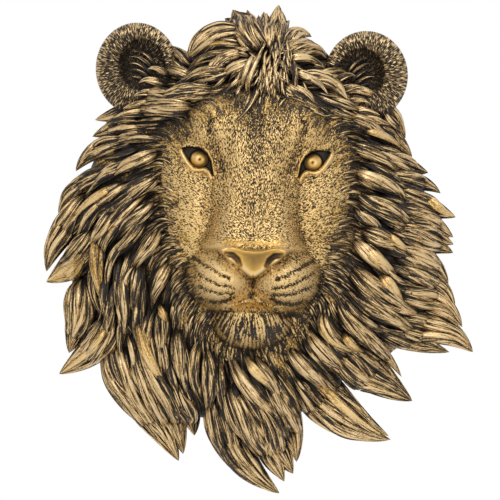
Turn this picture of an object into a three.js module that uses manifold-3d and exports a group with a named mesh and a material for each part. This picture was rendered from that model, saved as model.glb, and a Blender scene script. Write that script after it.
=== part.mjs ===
// A lion's head to hang on a wall: one resin casting with a flat back and a keyhole for a screw.
// Millimetres, +Z up. The back lies in the plane Y = 0 and the face looks along -Y.
// The origin is on the back, half way up the mane.
import * as THREE from "three";
import { mergeVertices } from "three/addons/utils/BufferGeometryUtils.js";
import Module from "manifold-3d";

// Driving dimensions.
const HEIGHT = 400; // lowest lock to crest
const DEPTH = 150; // wall to nose
const RIM_THICKNESS = 10; // casting at the edge of the mane
const SCREW_HEAD = 9; // largest screw head that the keyhole takes
const SCREW_SHANK = 4.5;
const SCREW_CLEARANCE = 1; // round head and shank
const KEYHOLE_RISE = 14; // from the entry's centre to the seat's
const KEYHOLE_LIP = 3; // resin in front of the screw head
const KEYHOLE_DEPTH = 10;
const KEYHOLE_HEIGHT = 88; // the seat's centre above the origin

// Places across and up are per cent of HEIGHT, depths are shares of DEPTH, headings are degrees
// counter-clockwise from straight right. The face is carved about the line x = 0, then tilted.
const PER_CENT = HEIGHT / 100;
const HEAD_CENTRE = { x: 0, z: 5 };

// Mane's edge between its locks: its radius about HEAD_CENTRE every 15 degrees from straight right.
const EDGE_RADII = [
  36.5, 34.5, 33, 33, 35, 39, 40.5, 39.5, 36, 34, 35.5, 36, 38.5, 39, 42.5, 42.5, 44.5, 41, 46, 39, 36.5, 38,
  39, 37.5,
];
const MANE_CROWN = 0.6; // depth of the mane under the face
const MANE_SWELLINGS = [
  { x: 1, z: 38, across: 9, up: 7, rise: 0.12 }, // crest
  { x: -17, z: 30, across: 8, up: 7, rise: 0.16 }, // before the ears
  { x: 17, z: 29, across: 8, up: 7, rise: 0.16 },
];

// Locks: root x, z and heading, tip x, z and heading, then the width as a share of the length if not the tier's.
// Those at the edge, clockwise from the right ear.
const EDGE_LOCKS = [
  [23, 31.5, 310, 30.6, 22.7, 300, 0.5],
  [22.2, 26.3, 335, 32, 18.9, 315, 0.44],
  [21.6, 20.4, 340, 35.3, 15.6, 345, 0.42],
  [25, 15.7, 335, 37.8, 11.4, 320],
  [26.4, 12.5, 335, 40.9, 6.5, 340, 0.4],
  [25.8, 8.2, 350, 40.4, 2.4, 325, 0.42],
  [27, 5.6, 345, 40.5, 0.9, 335, 0.4],
  [25.8, 3.5, 350, 40.4, -0.8, 335, 0.42],
  [25.3, 1.8, 340, 39.4, -7.1, 300],
  [25, -2.9, 335, 40.7, -12.4, 290, 0.34],
  [25, -7.6, 342, 42.2, -16, 297, 0.33],
  [25.3, -14.2, 350, 44.4, -21.1, 312, 0.4],
  [22.7, -16, 345, 39.6, -21.1, 345, 0.3],
  [13.2, -18.2, 330, 32, -31.1, 330, 0.44],
  [8.8, -21.4, 317, 27.2, -38.3, 330, 0.22],
  [6, -23, 303, 27.6, -39, 350, 0.29],
  [1, -22, 285, 8.3, -43.6, 272, 0.36],
  [-4.6, -23, 277, 7.6, -46, 300, 0.46],
  [-0.5, -30, 282, 5.8, -47.6, 297, 0.4],
  [-8.6, -25.7, 276, 4.8, -50, 325, 0.33],
  [-17, -24, 280, -12.6, -38.2, 275, 0.5],
  [-24, -15, 275, -14.9, -42, 280, 0.35],
  [-28.8, -14.5, 264, -15.8, -43.4, 294, 0.34],
  [-28.4, -11.4, 258, -40.3, -25.6, 212, 0.42],
  [-34.3, -3.8, 268, -38.3, -21.3, 252, 0.5],
  [-30.8, 4.9, 238, -42.9, -6.8, 208, 0.5],
  [-33, 12, 235, -42.9, -4.6, 258, 0.37],
  [-28.3, 17.1, 215, -40.4, 7, 252, 0.34],
  [-24.7, 22.2, 187, -36.9, 15.9, 240, 0.37],
  [-21.6, 25.3, 180, -33.5, 23, 203, 0.42],
  [-19.6, 28.4, 180, -33, 26.4, 195, 0.36],
];
// Those that lie over them, clockwise again.
const UPPER_LOCKS = [
  [16.1, 31.5, 20, 29.4, 25.8, 310],
  [18, 26.8, 350, 27.8, 21.3, 320, 0.45],
  [17.6, 21.5, 340, 30, 14.5, 310],
  [18, 16.4, 330, 31, 8.5, 300, 0.42],
  [18.8, 12.2, 320, 33, 3.4, 310, 0.38],
  [19, 9.2, 300, 25.9, 2.5, 290, 0.42],
  [19.6, 4.6, 335, 32, -0.9, 335, 0.42],
  [18.6, 2.6, 320, 29.4, -6.8, 315, 0.42],
  [17.2, -1.8, 315, 34.7, -13.9, 345, 0.36],
  [17.5, -7, 310, 34, -19, 310, 0.32],
  [15.7, -8.3, 290, 29.8, -26.2, 300, 0.26],
  [14, -11.3, 240, 22.6, -20.5, 15, 0.42],
  [9.6, -15.5, 300, 20.6, -28, 310, 0.36],
  [5.6, -18.5, 300, 17, -31, 310, 0.34],
  [-1, -20.2, 290, 6.2, -33, 290, 0.36],
  [-5.7, -19.5, 280, 8.4, -41.3, 290, 0.22],
  [-10.4, -18.4, 285, -9.4, -35, 275, 0.36],
  [-16, -14, 270, -13.8, -30, 285, 0.36],
  [-22, -10.3, 265, -16.9, -33.6, 300, 0.27],
  [-18.6, -9.6, 262, -19, -24.5, 275, 0.36],
  [-31.2, 4.4, 262, -30.8, -12.5, 285, 0.27],
  [-26.6, -1, 262, -27.2, -19.5, 262, 0.34],
  [-22.5, -1, 250, -24.5, -15.5, 268, 0.36],
  [-27.3, 9.6, 230, -34.5, -1.5, 240, 0.42],
  [-24.7, 14.1, 215, -33.8, 6, 250, 0.4],
  [-19.6, 10.6, 230, -28.7, 1.6, 235, 0.42],
  [-18.6, 5, 240, -25.1, -5.6, 255, 0.42],
  [-16.8, -1.6, 245, -21.2, -12.4, 265, 0.42],
  [-18, 20, 200, -30, 14, 225, 0.38],
  [-18.4, 15.4, 215, -28, 8, 230, 0.4],
];
// Those of the crest and the brow, and the tufts in the ears.
const CREST_LOCKS = [
  [1.5, 42, 160, -14.4, 36.6, 246, 0.6],
  [0, 38.6, 160, -11.4, 31.8, 250, 0.42],
  [2, 38.6, 132, -4.8, 49, 122, 0.8],
  [1, 40, 122, -1.8, 49, 104, 0.5],
  [2.2, 39, 100, 1.6, 48.6, 92, 0.6],
  [3.6, 38.6, 80, 4.7, 50, 80, 0.62],
  [3.6, 39.4, 56, 11.4, 43.4, 325, 0.58],
  [4.4, 38, 45, 15.4, 38, 305, 0.5],
  [7, 33, 40, 18.6, 30.4, 300, 0.42],
  [0.4, 39.6, 215, -3.7, 29.5, 262, 0.36],
  [-2.3, 35.5, 170, -16.6, 32, 225, 0.34],
  [-5.4, 31.5, 175, -22.7, 29.4, 200, 0.3],
  [-9.4, 28.2, 180, -29.2, 27, 200, 0.26],
  [-11.5, 34, 150, -21.5, 34.6, 220, 0.42],
  [-14.5, 30, 165, -25.5, 29.6, 220, 0.42],
  [1.8, 38.6, 275, 1.2, 28.4, 268, 0.5],
  [3.4, 34.5, 330, 13.4, 27.6, 320, 0.38],
  [11, 33.5, 30, 20.4, 33.8, 320, 0.42],
];
const TIERS = [
  { locks: EDGE_LOCKS, fullness: 0.36, lift: 0.03, steps: 5 },
  { locks: UPPER_LOCKS, fullness: 0.36, lift: 0.08, steps: 4 },
  { locks: CREST_LOCKS, fullness: 0.36, lift: 0.06, steps: 4 },
];
const LOCK_SECTION = [
  [1, 0],
  [0.6, 0.85],
  [-0.6, 0.85],
  [-1, 0],
  [0, -0.6],
]; // across and over its spine, as shares of its half width and its thickness
const SHORT_LOCK = 16; // one up to this long has a step less than its tier's
const HANDLE = 0.4; // how far a lock runs straight out of its root, as a share of its length
const THICKNESS = 0.36; // of a lock over its spine, as a share of its width
const SURFACING = 0.35; // share of a lock's length over which it comes up out of the mane
const FULLEST = 0.45; // share of its length at which it is widest

// Ears: centre x, z, then half the width and half the height.
const EARS = [
  { x: -24.3, z: 36.8, across: 8.4, up: 9.4, hollow: { x: 1.2, z: 0.8 } },
  { x: 22.5, z: 35.4, across: 8.5, up: 9.1, hollow: { x: -1.2, z: 0.4 } },
];
const EAR_DEPTH = 0.2; // depth of an ear's centre
const EAR_THICKNESS = 0.11; // half its thickness
const EAR_RIM = 0.42; // share of its half width that is rim

// Face, right half; the left mirrors it.
const FACE_COLUMNS = [0, 1.2, 2.8, 4.4, 6, 7.6, 9.2, 10.8, 12.6, 14.8, 17.4, 20.5];
const FACE_ROWS = [
  -21, -19.4, -17.2, -14.8, -12.8, -11.2, -9.4, -7.4, -5.6, -4.2, -2.8, -1.4, 0.2, 2.6, 6, 9.6, 12.6, 14.8, 16.6,
  18.4, 20.4, 23, 26.5, 30.5, 34.5,
];
const FACE_BACK = 0.12; // depth of the face block's hidden back
const BLEND = 0.045; // depth over which neighbouring forms of the face run into each other

const EYE = { x: 11.9, z: 17.1, slant: 37.5, half_length: 4.2, above: 2.5, below: 1.7 };
const EYEBALL = { x: 11.4, z: 17.8, radius: 2 };
const FACE_TILT = 1.6; // degrees that the face leans to the right, about a point between the eyes
const FACE_PIVOT = 17; // that point's place up

const wasm = await Module();
wasm.setup();

const radians = (degrees) => (degrees * Math.PI) / 180;
const mirrored = (form) => [form, { ...form, x: -form.x }];

// A point of the part, from its place across and up in per cent and its depth as a share.
function place(x, z, depth) {
  return new THREE.Vector3(x * PER_CENT, -depth * DEPTH, z * PER_CENT);
}

// A closed body through rings with as many points each; a ring may shrink to one point.
function loft(rings) {
  const corners = rings.flat();
  const count = rings[0].length;
  const faces = [];
  for (let row = 0; row < rings.length - 1; row++) {
    for (let i = 0; i < count; i++) {
      const a = row * count + i;
      const b = row * count + ((i + 1) % count);
      faces.push([a, b, b + count], [a, b + count, a + count]);
    }
  }
  [rings[0], rings.at(-1)].forEach((ring, end) => {
    const hub = corners.length;
    const start = end * (rings.length - 1) * count;
    corners.push(ring.reduce((sum, p) => sum.add(p), new THREE.Vector3()).divideScalar(count));
    for (let i = 0; i < count; i++) {
      const pair = [start + i, start + ((i + 1) % count)];
      faces.push(end ? [pair[0], pair[1], hub] : [pair[1], pair[0], hub]);
    }
  });
  const geometry = new THREE.BufferGeometry().setFromPoints(corners);
  geometry.setIndex(faces.flat());
  return geometry;
}

// A closed geometry as a solid: equal corners are merged and faces without area dropped.
function solid(geometry) {
  const bare = geometry.clone();
  bare.deleteAttribute("normal");
  bare.deleteAttribute("uv");
  const merged = mergeVertices(bare, 1e-4);
  const kept = [];
  for (let i = 0; i < merged.index.count; i += 3) {
    const face = [0, 1, 2].map((k) => merged.index.getX(i + k));
    if (new Set(face).size === 3) kept.push(...face);
  }
  const vertProperties = Float32Array.from(merged.attributes.position.array);
  const made = new wasm.Manifold(new wasm.Mesh({ numProp: 3, vertProperties, triVerts: Uint32Array.from(kept) }));
  if (made.volume() > 0) return made;
  for (let i = 0; i < kept.length; i += 3) [kept[i], kept[i + 1]] = [kept[i + 1], kept[i]];
  return new wasm.Manifold(new wasm.Mesh({ numProp: 3, vertProperties, triVerts: Uint32Array.from(kept) }));
}

// A piece of the face as a solid, leaning as the face does.
function tilted(geometry) {
  geometry.translate(0, 0, -FACE_PIVOT * PER_CENT);
  geometry.rotateY(radians(FACE_TILT));
  geometry.translate(0, 0, FACE_PIVOT * PER_CENT);
  return solid(geometry);
}

// The mane's radius in a direction, smoothly through EDGE_RADII.
function edgeRadius(angle) {
  const count = EDGE_RADII.length;
  const turn = ((angle / (2 * Math.PI)) * count + 2 * count) % count;
  const i = Math.floor(turn);
  const t = turn - i;
  const [a, b, c, d] = [-1, 0, 1, 2].map((k) => EDGE_RADII[(i + k + count) % count]);
  return b + 0.5 * t * (c - a + t * (2 * a - 5 * b + 4 * c - d + t * (3 * (b - c) + d - a)));
}

// A rounded swelling or hollow: what it adds to the depth at a place.
function hill({ x, z, across, up, rise }, px, pz) {
  return rise * Math.exp(-(((px - x) / across) ** 2) - ((pz - z) / up) ** 2);
}

// Depth of the mane's ground under the locks, from its crown to its rim.
function maneDepth(x, z) {
  const dx = x - HEAD_CENTRE.x;
  const dz = z - HEAD_CENTRE.z;
  const share = Math.min(1, Math.hypot(dx, dz) / edgeRadius(Math.atan2(dz, dx)));
  const rim = RIM_THICKNESS / DEPTH;
  const ground = rim + (MANE_CROWN - rim) * (1 - share * share) ** 0.75;
  return MANE_SWELLINGS.reduce((depth, swelling) => depth + hill(swelling, x, z), ground);
}

function mane() {
  const sectors = 30;
  const shares = [0.56, 0.76, 0.9, 1];
  const ring = (share, depthAt) =>
    Array.from({ length: sectors }, (_, i) => {
      const angle = (i / sectors) * 2 * Math.PI;
      const reach = share * edgeRadius(angle);
      const x = HEAD_CENTRE.x + reach * Math.cos(angle);
      const z = HEAD_CENTRE.z + reach * Math.sin(angle);
      return place(x, z, depthAt(x, z));
    });
  return solid(loft([...shares.map((share) => ring(share, maneDepth)), ring(1, () => 0)]));
}

// One lock: a leaf, pointed at both ends, swept along a curve that rises over the mane and falls to its tip.
function lock([rootX, rootZ, rootHeading, tipX, tipZ, tipHeading, fullness], tier) {
  const root = new THREE.Vector2(rootX, rootZ);
  const tip = new THREE.Vector2(tipX, tipZ);
  const length = root.distanceTo(tip);
  const along = (heading, share) =>
    new THREE.Vector2(Math.cos(radians(heading)), Math.sin(radians(heading))).multiplyScalar(share * length);
  const path = new THREE.CubicBezierCurve(
    root,
    root.clone().add(along(rootHeading, HANDLE)),
    tip.clone().sub(along(tipHeading, HANDLE)),
    tip,
  );
  const width = (fullness ?? tier.fullness) * length * PER_CENT;
  const sunk = (THICKNESS * width) / DEPTH;
  const spine = (t) => {
    const p = path.getPoint(t);
    const up = THREE.MathUtils.smoothstep(t, 0, SURFACING);
    const down = THREE.MathUtils.smoothstep(t, 0.5, 1);
    return place(p.x, p.y, maneDepth(p.x, p.y) + tier.lift * (up - 0.7 * down) - sunk * (1 - up));
  };
  const rings = [];
  const steps = length > SHORT_LOCK ? tier.steps : tier.steps - 1;
  for (let step = 0; step <= steps; step++) {
    const t = step / steps;
    const p = spine(t);
    const ahead = spine(Math.min(1, t + 0.02)).sub(spine(Math.max(0, t - 0.02))).normalize();
    const away = new THREE.Vector3(p.x / PER_CENT - HEAD_CENTRE.x, 0, p.z / PER_CENT - HEAD_CENTRE.z);
    const out = new THREE.Vector3(0, -1, 0).addScaledVector(away.normalize(), 0.45);
    out.addScaledVector(ahead, -out.dot(ahead)).normalize();
    const side = new THREE.Vector3().crossVectors(ahead, out);
    const swell = Math.sin((Math.PI / 2) * Math.min(1, t / FULLEST)) ** 0.8 * (1 - t ** 2.5) ** 0.8;
    rings.push(
      LOCK_SECTION.map(([across, over]) =>
        p
          .clone()
          .addScaledVector(side, (across * width * swell) / 2)
          .addScaledVector(out, over * THICKNESS * width * swell),
      ),
    );
  }
  return solid(loft(rings));
}

// A rounded form of the face: the depth that it reaches at a place, or none outside it.
function dome({ x, z, across, up, base, rise }) {
  return (px, pz) => {
    const left = 1 - ((px - x) / across) ** 2 - ((pz - z) / up) ** 2;
    return left > 0 ? base + rise * Math.sqrt(left) : base + left * rise;
  };
}

// The nose's broad back, from the brow down to the nostrils.
function bridge(x, z) {
  const down = THREE.MathUtils.clamp((24 - z) / 24, 0, 1);
  const halfWidth = 4.4 + 3 * down;
  const top = 0.7 + 0.27 * down - 0.05 * Math.sin(Math.PI * down) - (z < 0 ? 0.11 * -z : 0);
  return top - 0.055 * (Math.abs(x) / halfWidth) ** 5 - 0.003 * Math.max(0, z - 22) ** 2;
}

const FACE_FORMS = [
  dome({ x: 0, z: 12, across: 22.5, up: 25, base: 0.2, rise: 0.55 }), // skull
  bridge,
  ...mirrored({ x: 6, z: -5.6, across: 7.8, up: 7, base: 0.42, rise: 0.51 }).map(dome), // whisker pads
  dome({ x: 0, z: -4, across: 14.5, up: 12, base: 0.3, rise: 0.48 }), // muzzle
  dome({ x: 0, z: -14.2, across: 8.2, up: 6.2, base: 0.4, rise: 0.43 }), // chin
  ...mirrored({ x: 12, z: 5, across: 8.5, up: 13, base: 0.3, rise: 0.31 }).map(dome), // cheeks
  ...mirrored({ x: 7.5, z: 24.5, across: 7, up: 6.5, base: 0.42, rise: 0.31 }).map(dome), // brows
];

// Hollows and swellings on top of the forms, as rounded hills and pits.
const FACE_TOUCHES = [
  ...mirrored({ x: 10.4, z: 16.6, across: 4.4, up: 4.2, rise: -0.07 }), // eye sockets
  { x: 0, z: 27, across: 1.4, up: 6, rise: -0.035 }, // furrow of the brow
  ...mirrored({ x: 9.2, z: 8.5, across: 1.5, up: 6, rise: -0.035 }), // beside the bridge
  { x: 0, z: -7, across: 0.7, up: 2.2, rise: -0.07 }, // below the nose
  { x: 0, z: -11.2, across: 6, up: 1, rise: -0.06 }, // mouth
  ...mirrored({ x: 5.1, z: -1.6, across: 1.5, up: 1, rise: -0.09 }), // nostrils
];

function faceDepth(x, z) {
  const depths = FACE_FORMS.map((form) => form(x, z));
  const most = Math.max(...depths);
  const blended = most + BLEND * Math.log(depths.reduce((sum, d) => sum + Math.exp((d - most) / BLEND), 0));
  return FACE_TOUCHES.reduce((depth, touch) => depth + hill(touch, x, z), blended);
}

function face() {
  const columns = [...FACE_COLUMNS.slice(1).reverse().map((x) => -x), ...FACE_COLUMNS];
  const rows = FACE_ROWS.map((z) => [
    ...columns.map((x) => place(x, z, Math.max(FACE_BACK + 0.02, faceDepth(x, z)))),
    place(columns.at(-1), z, FACE_BACK),
    place(columns[0], z, FACE_BACK),
  ]);
  return tilted(loft(rows));
}

// An eyeball and the two lids that close round it to pointed corners.
function eye(sign) {
  const slant = radians(EYE.slant);
  const depthAt = (x, z) => faceDepth(sign * x, z);
  const at = (along, over, depth) => {
    const x = EYE.x + along * Math.cos(slant) - over * Math.sin(slant);
    const z = EYE.z + along * Math.sin(slant) + over * Math.cos(slant);
    return place(sign * x, z, depthAt(x, z) + depth);
  };
  const ball = new THREE.SphereGeometry(EYEBALL.radius * PER_CENT, 10, 6);
  const seat = place(sign * EYEBALL.x, EYEBALL.z, depthAt(EYEBALL.x, EYEBALL.z));
  ball.translate(seat.x, seat.y + 0.6 * EYEBALL.radius * PER_CENT, seat.z);
  const lids = [EYE.above, -EYE.below].map((height) => {
    const rings = Array.from({ length: 6 }, (_, i) => {
      const t = (i / 5) * 2 - 1;
      const over = height * (1 - t * t);
      const centre = at(t * EYE.half_length, over, 0.01);
      const thick = (0.35 + 0.5 * (1 - t * t)) * PER_CENT;
      return Array.from({ length: 4 }, (_, k) => {
        const turn = (k / 4) * 2 * Math.PI;
        const across = new THREE.Vector3(-sign * Math.sin(slant), 0, Math.cos(slant));
        return centre
          .clone()
          .addScaledVector(across, Math.cos(turn) * thick * 0.8)
          .add(new THREE.Vector3(0, -Math.sin(turn) * thick, 0));
      });
    });
    return tilted(loft(rings));
  });
  return [tilted(ball), ...lids];
}

// The bare pad of the nose: broad above, drawn to a point below.
function nose() {
  const outline = [
    [-6.6, 0.1],
    [-3.4, 0.9],
    [0, 0.5],
    [3.4, 0.9],
    [6.6, 0.1],
    [4.6, -2.2],
    [2.4, -3.2],
    [1.2, -5.2],
    [0, -5.6],
    [-1.2, -5.2],
    [-2.4, -3.2],
    [-4.6, -2.2],
  ];
  const ring = (share, depth) => outline.map(([x, z]) => place(x * share, -2 + (z + 2) * share, depth));
  return tilted(loft([ring(1.08, 0.8), ring(1.03, 0.94), ring(0.82, 0.985), ring(0.4, 1)]));
}

function ear({ x, z, across, up, hollow }) {
  const shell = (shareAcross, shareUp, at) => {
    const sphere = new THREE.SphereGeometry(1, 12, 8);
    sphere.scale(across * shareAcross * PER_CENT, EAR_THICKNESS * DEPTH, up * shareUp * PER_CENT);
    sphere.translate(at.x, at.y, at.z);
    return solid(sphere);
  };
  const inner = 1 - EAR_RIM;
  const cup = shell(inner, inner, place(x + hollow.x, z + hollow.z, EAR_DEPTH + 0.7 * EAR_THICKNESS));
  return shell(1, 1, place(x, z, EAR_DEPTH)).subtract(cup);
}

// The pocket in the back: a round entry for the screw's head, a narrow seat above it and room behind both.
function keyhole() {
  const entry = SCREW_HEAD / 2 + SCREW_CLEARANCE;
  const shank = SCREW_SHANK / 2 + SCREW_CLEARANCE;
  const low = KEYHOLE_HEIGHT - KEYHOLE_RISE;
  const outline = (radius) => {
    const shape = new THREE.Shape();
    shape.absarc(0, KEYHOLE_HEIGHT, radius, 0, Math.PI);
    shape.lineTo(-radius, low);
    shape.absarc(0, low, radius, Math.PI, 2 * Math.PI);
    return shape;
  };
  const circle = new THREE.Shape();
  circle.absarc(0, low, entry, 0, 2 * Math.PI);
  const cut = (shape, from, to) => {
    const block = new THREE.ExtrudeGeometry(shape, { depth: to - from, bevelEnabled: false, curveSegments: 8 });
    block.rotateX(Math.PI / 2);
    block.translate(0, -from, 0);
    return solid(block);
  };
  return cut(circle, -1, KEYHOLE_DEPTH)
    .add(cut(outline(shank), -1, KEYHOLE_DEPTH))
    .add(cut(outline(entry), KEYHOLE_LIP, KEYHOLE_DEPTH));
}

// Everything behind the wall plane.
function wall() {
  const block = new THREE.BoxGeometry(2 * HEIGHT, DEPTH, 2 * HEIGHT);
  block.translate(0, DEPTH / 2, 0);
  return solid(block);
}

function head() {
  const forms = [
    mane(),
    face(),
    nose(),
    ...eye(1),
    ...eye(-1),
    ...EARS.map(ear),
    ...TIERS.flatMap((tier) => tier.locks.map((row) => lock(row, tier))),
  ];
  const joined = forms.reduce((body, form) => body.add(form)).subtract(wall()).subtract(keyhole());
  // The resin also fills what the locks shut in, so only the outer skin counts.
  const skins = joined.decompose().sort((a, b) => b.volume() - a.volume());
  const { numProp, vertProperties, triVerts } = skins[0].getMesh();
  const geometry = new THREE.BufferGeometry();
  geometry.setAttribute("position", new THREE.BufferAttribute(vertProperties, numProp));
  geometry.setIndex(new THREE.BufferAttribute(triVerts, 1));
  geometry.computeVertexNormals();
  const resin = new THREE.MeshStandardMaterial({ color: 0xa98543, roughness: 0.45, metalness: 0.6 });
  const mesh = new THREE.Mesh(geometry, resin);
  mesh.name = "lion_head";
  return mesh;
}

const part = new THREE.Group();
part.add(head());
export default part;
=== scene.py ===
"""A lion's head cast in resin, painted antique gold over black, to hang on a wall."""

import bpy
import math
from functools import partial
import numpy as np
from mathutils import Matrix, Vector
from mathutils.geometry import tessellate_polygon


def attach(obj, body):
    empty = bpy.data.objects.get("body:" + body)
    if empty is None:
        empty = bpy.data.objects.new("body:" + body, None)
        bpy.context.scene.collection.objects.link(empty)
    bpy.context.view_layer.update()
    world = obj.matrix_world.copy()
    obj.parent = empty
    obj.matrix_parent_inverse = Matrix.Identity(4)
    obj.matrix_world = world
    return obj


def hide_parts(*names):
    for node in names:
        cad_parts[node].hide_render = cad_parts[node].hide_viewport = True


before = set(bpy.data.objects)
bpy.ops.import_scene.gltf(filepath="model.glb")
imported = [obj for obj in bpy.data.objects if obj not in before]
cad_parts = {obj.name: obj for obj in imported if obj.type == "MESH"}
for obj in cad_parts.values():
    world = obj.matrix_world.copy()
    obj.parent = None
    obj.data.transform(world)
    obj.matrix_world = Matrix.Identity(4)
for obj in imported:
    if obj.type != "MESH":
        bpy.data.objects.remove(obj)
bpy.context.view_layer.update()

# Named sizes. Places across and up are per cent of the head's height, depths are shares of its depth,
# and headings are degrees counter-clockwise from straight right. Everything built is in metres.
PER_CENT = 0.004
DEPTH = 0.15
MM = 0.001
RIM_THICKNESS = 0.010
HEAD_CENTRE = (0.0, 5.0)
EDGE_RADII = [
    36.5, 34.5, 33, 33, 35, 39, 40.5, 39.5, 36, 34, 35.5, 36,
    38.5, 39, 42.5, 42.5, 44.5, 41, 46, 39, 36.5, 38, 39, 37.5,
]
FACE_RADII = [
    17.3, 18.6, 21.1, 24.7, 26.3, 26.2, 25.5, 26.2, 26.3, 24.7, 21.1, 18.6,
    17.3, 16.4, 16.6, 18, 21.3, 26.8, 26.5, 26.8, 21.3, 18, 16.6, 16.4,
]
MANE_CROWN = 0.6
MANE_SWELLINGS = [(1, 38, 9, 7, 0.12), (-17, 30, 8, 7, 0.16), (17, 29, 8, 7, 0.16)]
FACE_TILT = math.radians(1.6)
FACE_PIVOT = (0.0, 17.0)
EYE = {"x": 11.9, "z": 17.1, "slant": math.radians(37.5)}
EYEBALL = {"x": 11.4, "z": 17.8, "radius": 2.2}
# The edges of the eye's opening: how far along the eye towards its outer corner, and how far up.
UPPER_LID = [(-4.1, 0.1), (-3, 1.1), (-2, 2), (-0.4, 2.7), (1.3, 2.75), (3.2, 1.6), (4.3, 0.4)]
LOWER_LID = [(-4.1, -0.1), (-3, 0.4), (-2, 0.4), (-0.9, -0.65), (0, -1), (1.4, -0.8), (3.2, -0.2), (4.3, 0.3)]

# Locks: root x, z, heading, tip x, z, heading, width as a share of length, and how gold the lock is.
EDGE_LOCKS = [
    (23, 31.5, 310, 30.6, 22.7, 300, 0.5, 0.35),
    (22.2, 26.3, 335, 32, 18.9, 315, 0.44, 0.4),
    (21.6, 20.4, 340, 35.3, 15.6, 345, 0.42, 0.5),
    (25, 15.7, 335, 37.8, 11.4, 320, 0.36, 0.5),
    (26.4, 12.5, 335, 40.9, 6.5, 340, 0.4, 0.5),
    (25.8, 8.2, 350, 40.4, 2.4, 325, 0.42, 0.5),
    (27, 5.6, 345, 40.5, 0.9, 335, 0.4, 0.5),
    (25.8, 3.5, 350, 40.4, -0.8, 335, 0.42, 0.5),
    (25.3, 1.8, 340, 39.4, -7.1, 300, 0.36, 0.5),
    (25, -2.9, 335, 40.7, -12.4, 290, 0.34, 0.5),
    (25, -7.6, 342, 42.2, -16, 297, 0.33, 0.55),
    (25.3, -14.2, 350, 44.4, -21.1, 312, 0.4, 0.55),
    (22.7, -16, 345, 39.6, -21.1, 345, 0.3, 0.5),
    (13.2, -18.2, 330, 32, -31.1, 330, 0.44, 0.45),
    (8.8, -21.4, 317, 27.2, -38.3, 330, 0.22, 0.8),
    (6, -23, 303, 27.6, -39, 350, 0.29, 0.5),
    (1, -22, 285, 8.3, -43.6, 272, 0.36, 0.45),
    (-4.6, -23, 277, 7.6, -46, 300, 0.46, 0.6),
    (-0.5, -30, 282, 5.8, -47.6, 297, 0.4, 0.55),
    (-8.6, -25.7, 276, 4.8, -50, 325, 0.33, 0.5),
    (-17, -24, 280, -12.6, -38.2, 275, 0.5, 0.3),
    (-24, -15, 275, -14.9, -42, 280, 0.35, 0.5),
    (-28.8, -14.5, 264, -15.8, -43.4, 294, 0.34, 0.55),
    (-28.4, -11.4, 258, -40.3, -25.6, 212, 0.42, 0.8),
    (-34.3, -3.8, 268, -38.3, -21.3, 252, 0.5, 0.5),
    (-30.8, 4.9, 238, -42.9, -6.8, 208, 0.5, 0.75),
    (-33, 12, 235, -42.9, -4.6, 258, 0.37, 0.6),
    (-28.3, 17.1, 215, -40.4, 7, 252, 0.34, 0.5),
    (-24.7, 22.2, 187, -36.9, 15.9, 240, 0.37, 0.5),
    (-21.6, 25.3, 180, -33.5, 23, 203, 0.42, 0.4),
    (-19.6, 28.4, 180, -33, 26.4, 195, 0.36, 0.4),
]
UPPER_LOCKS = [
    (16.1, 31.5, 20, 29.4, 25.8, 310, 0.36, 0.5),
    (18, 26.8, 350, 27.8, 21.3, 320, 0.45, 0.6),
    (17.6, 21.5, 340, 30, 14.5, 310, 0.36, 0.6),
    (18, 16.4, 330, 31, 8.5, 300, 0.42, 0.55),
    (18.8, 12.2, 320, 33, 3.4, 310, 0.38, 0.55),
    (19, 9.2, 300, 25.9, 2.5, 290, 0.42, 0.5),
    (19.6, 4.6, 335, 32, -0.9, 335, 0.42, 0.5),
    (18.6, 2.6, 320, 29.4, -6.8, 315, 0.42, 0.5),
    (17.2, -1.8, 315, 34.7, -13.9, 345, 0.36, 0.85),
    (17.5, -7, 310, 34, -19, 310, 0.32, 0.5),
    (15.7, -8.3, 290, 29.8, -26.2, 300, 0.26, 0.6),
    (14, -11.3, 240, 22.6, -20.5, 15, 0.42, 0.85),
    (9.6, -15.5, 300, 20.6, -28, 310, 0.36, 0.55),
    (5.6, -18.5, 300, 17, -31, 310, 0.34, 0.5),
    (-1, -20.2, 290, 6.2, -33, 290, 0.36, 0.75),
    (-5.7, -19.5, 280, 8.4, -41.3, 290, 0.22, 0.7),
    (-10.4, -18.4, 285, -9.4, -35, 275, 0.36, 0.3),
    (-16, -14, 270, -13.8, -30, 285, 0.36, 0.4),
    (-22, -10.3, 265, -16.9, -33.6, 300, 0.27, 0.9),
    (-18.6, -9.6, 262, -19, -24.5, 275, 0.36, 0.5),
    (-31.2, 4.4, 262, -30.8, -12.5, 285, 0.27, 0.95),
    (-26.6, -1, 262, -27.2, -19.5, 262, 0.34, 0.5),
    (-22.5, -1, 250, -24.5, -15.5, 268, 0.36, 0.5),
    (-27.3, 9.6, 230, -34.5, -1.5, 240, 0.42, 0.7),
    (-24.7, 14.1, 215, -33.8, 6, 250, 0.4, 0.6),
    (-19.6, 10.6, 230, -28.7, 1.6, 235, 0.42, 0.5),
    (-18.6, 5, 240, -25.1, -5.6, 255, 0.42, 0.5),
    (-16.8, -1.6, 245, -21.2, -12.4, 265, 0.42, 0.5),
    (-18, 20, 200, -30, 14, 225, 0.38, 0.55),
    (-18.4, 15.4, 215, -28, 8, 230, 0.4, 0.5),
]
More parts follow.
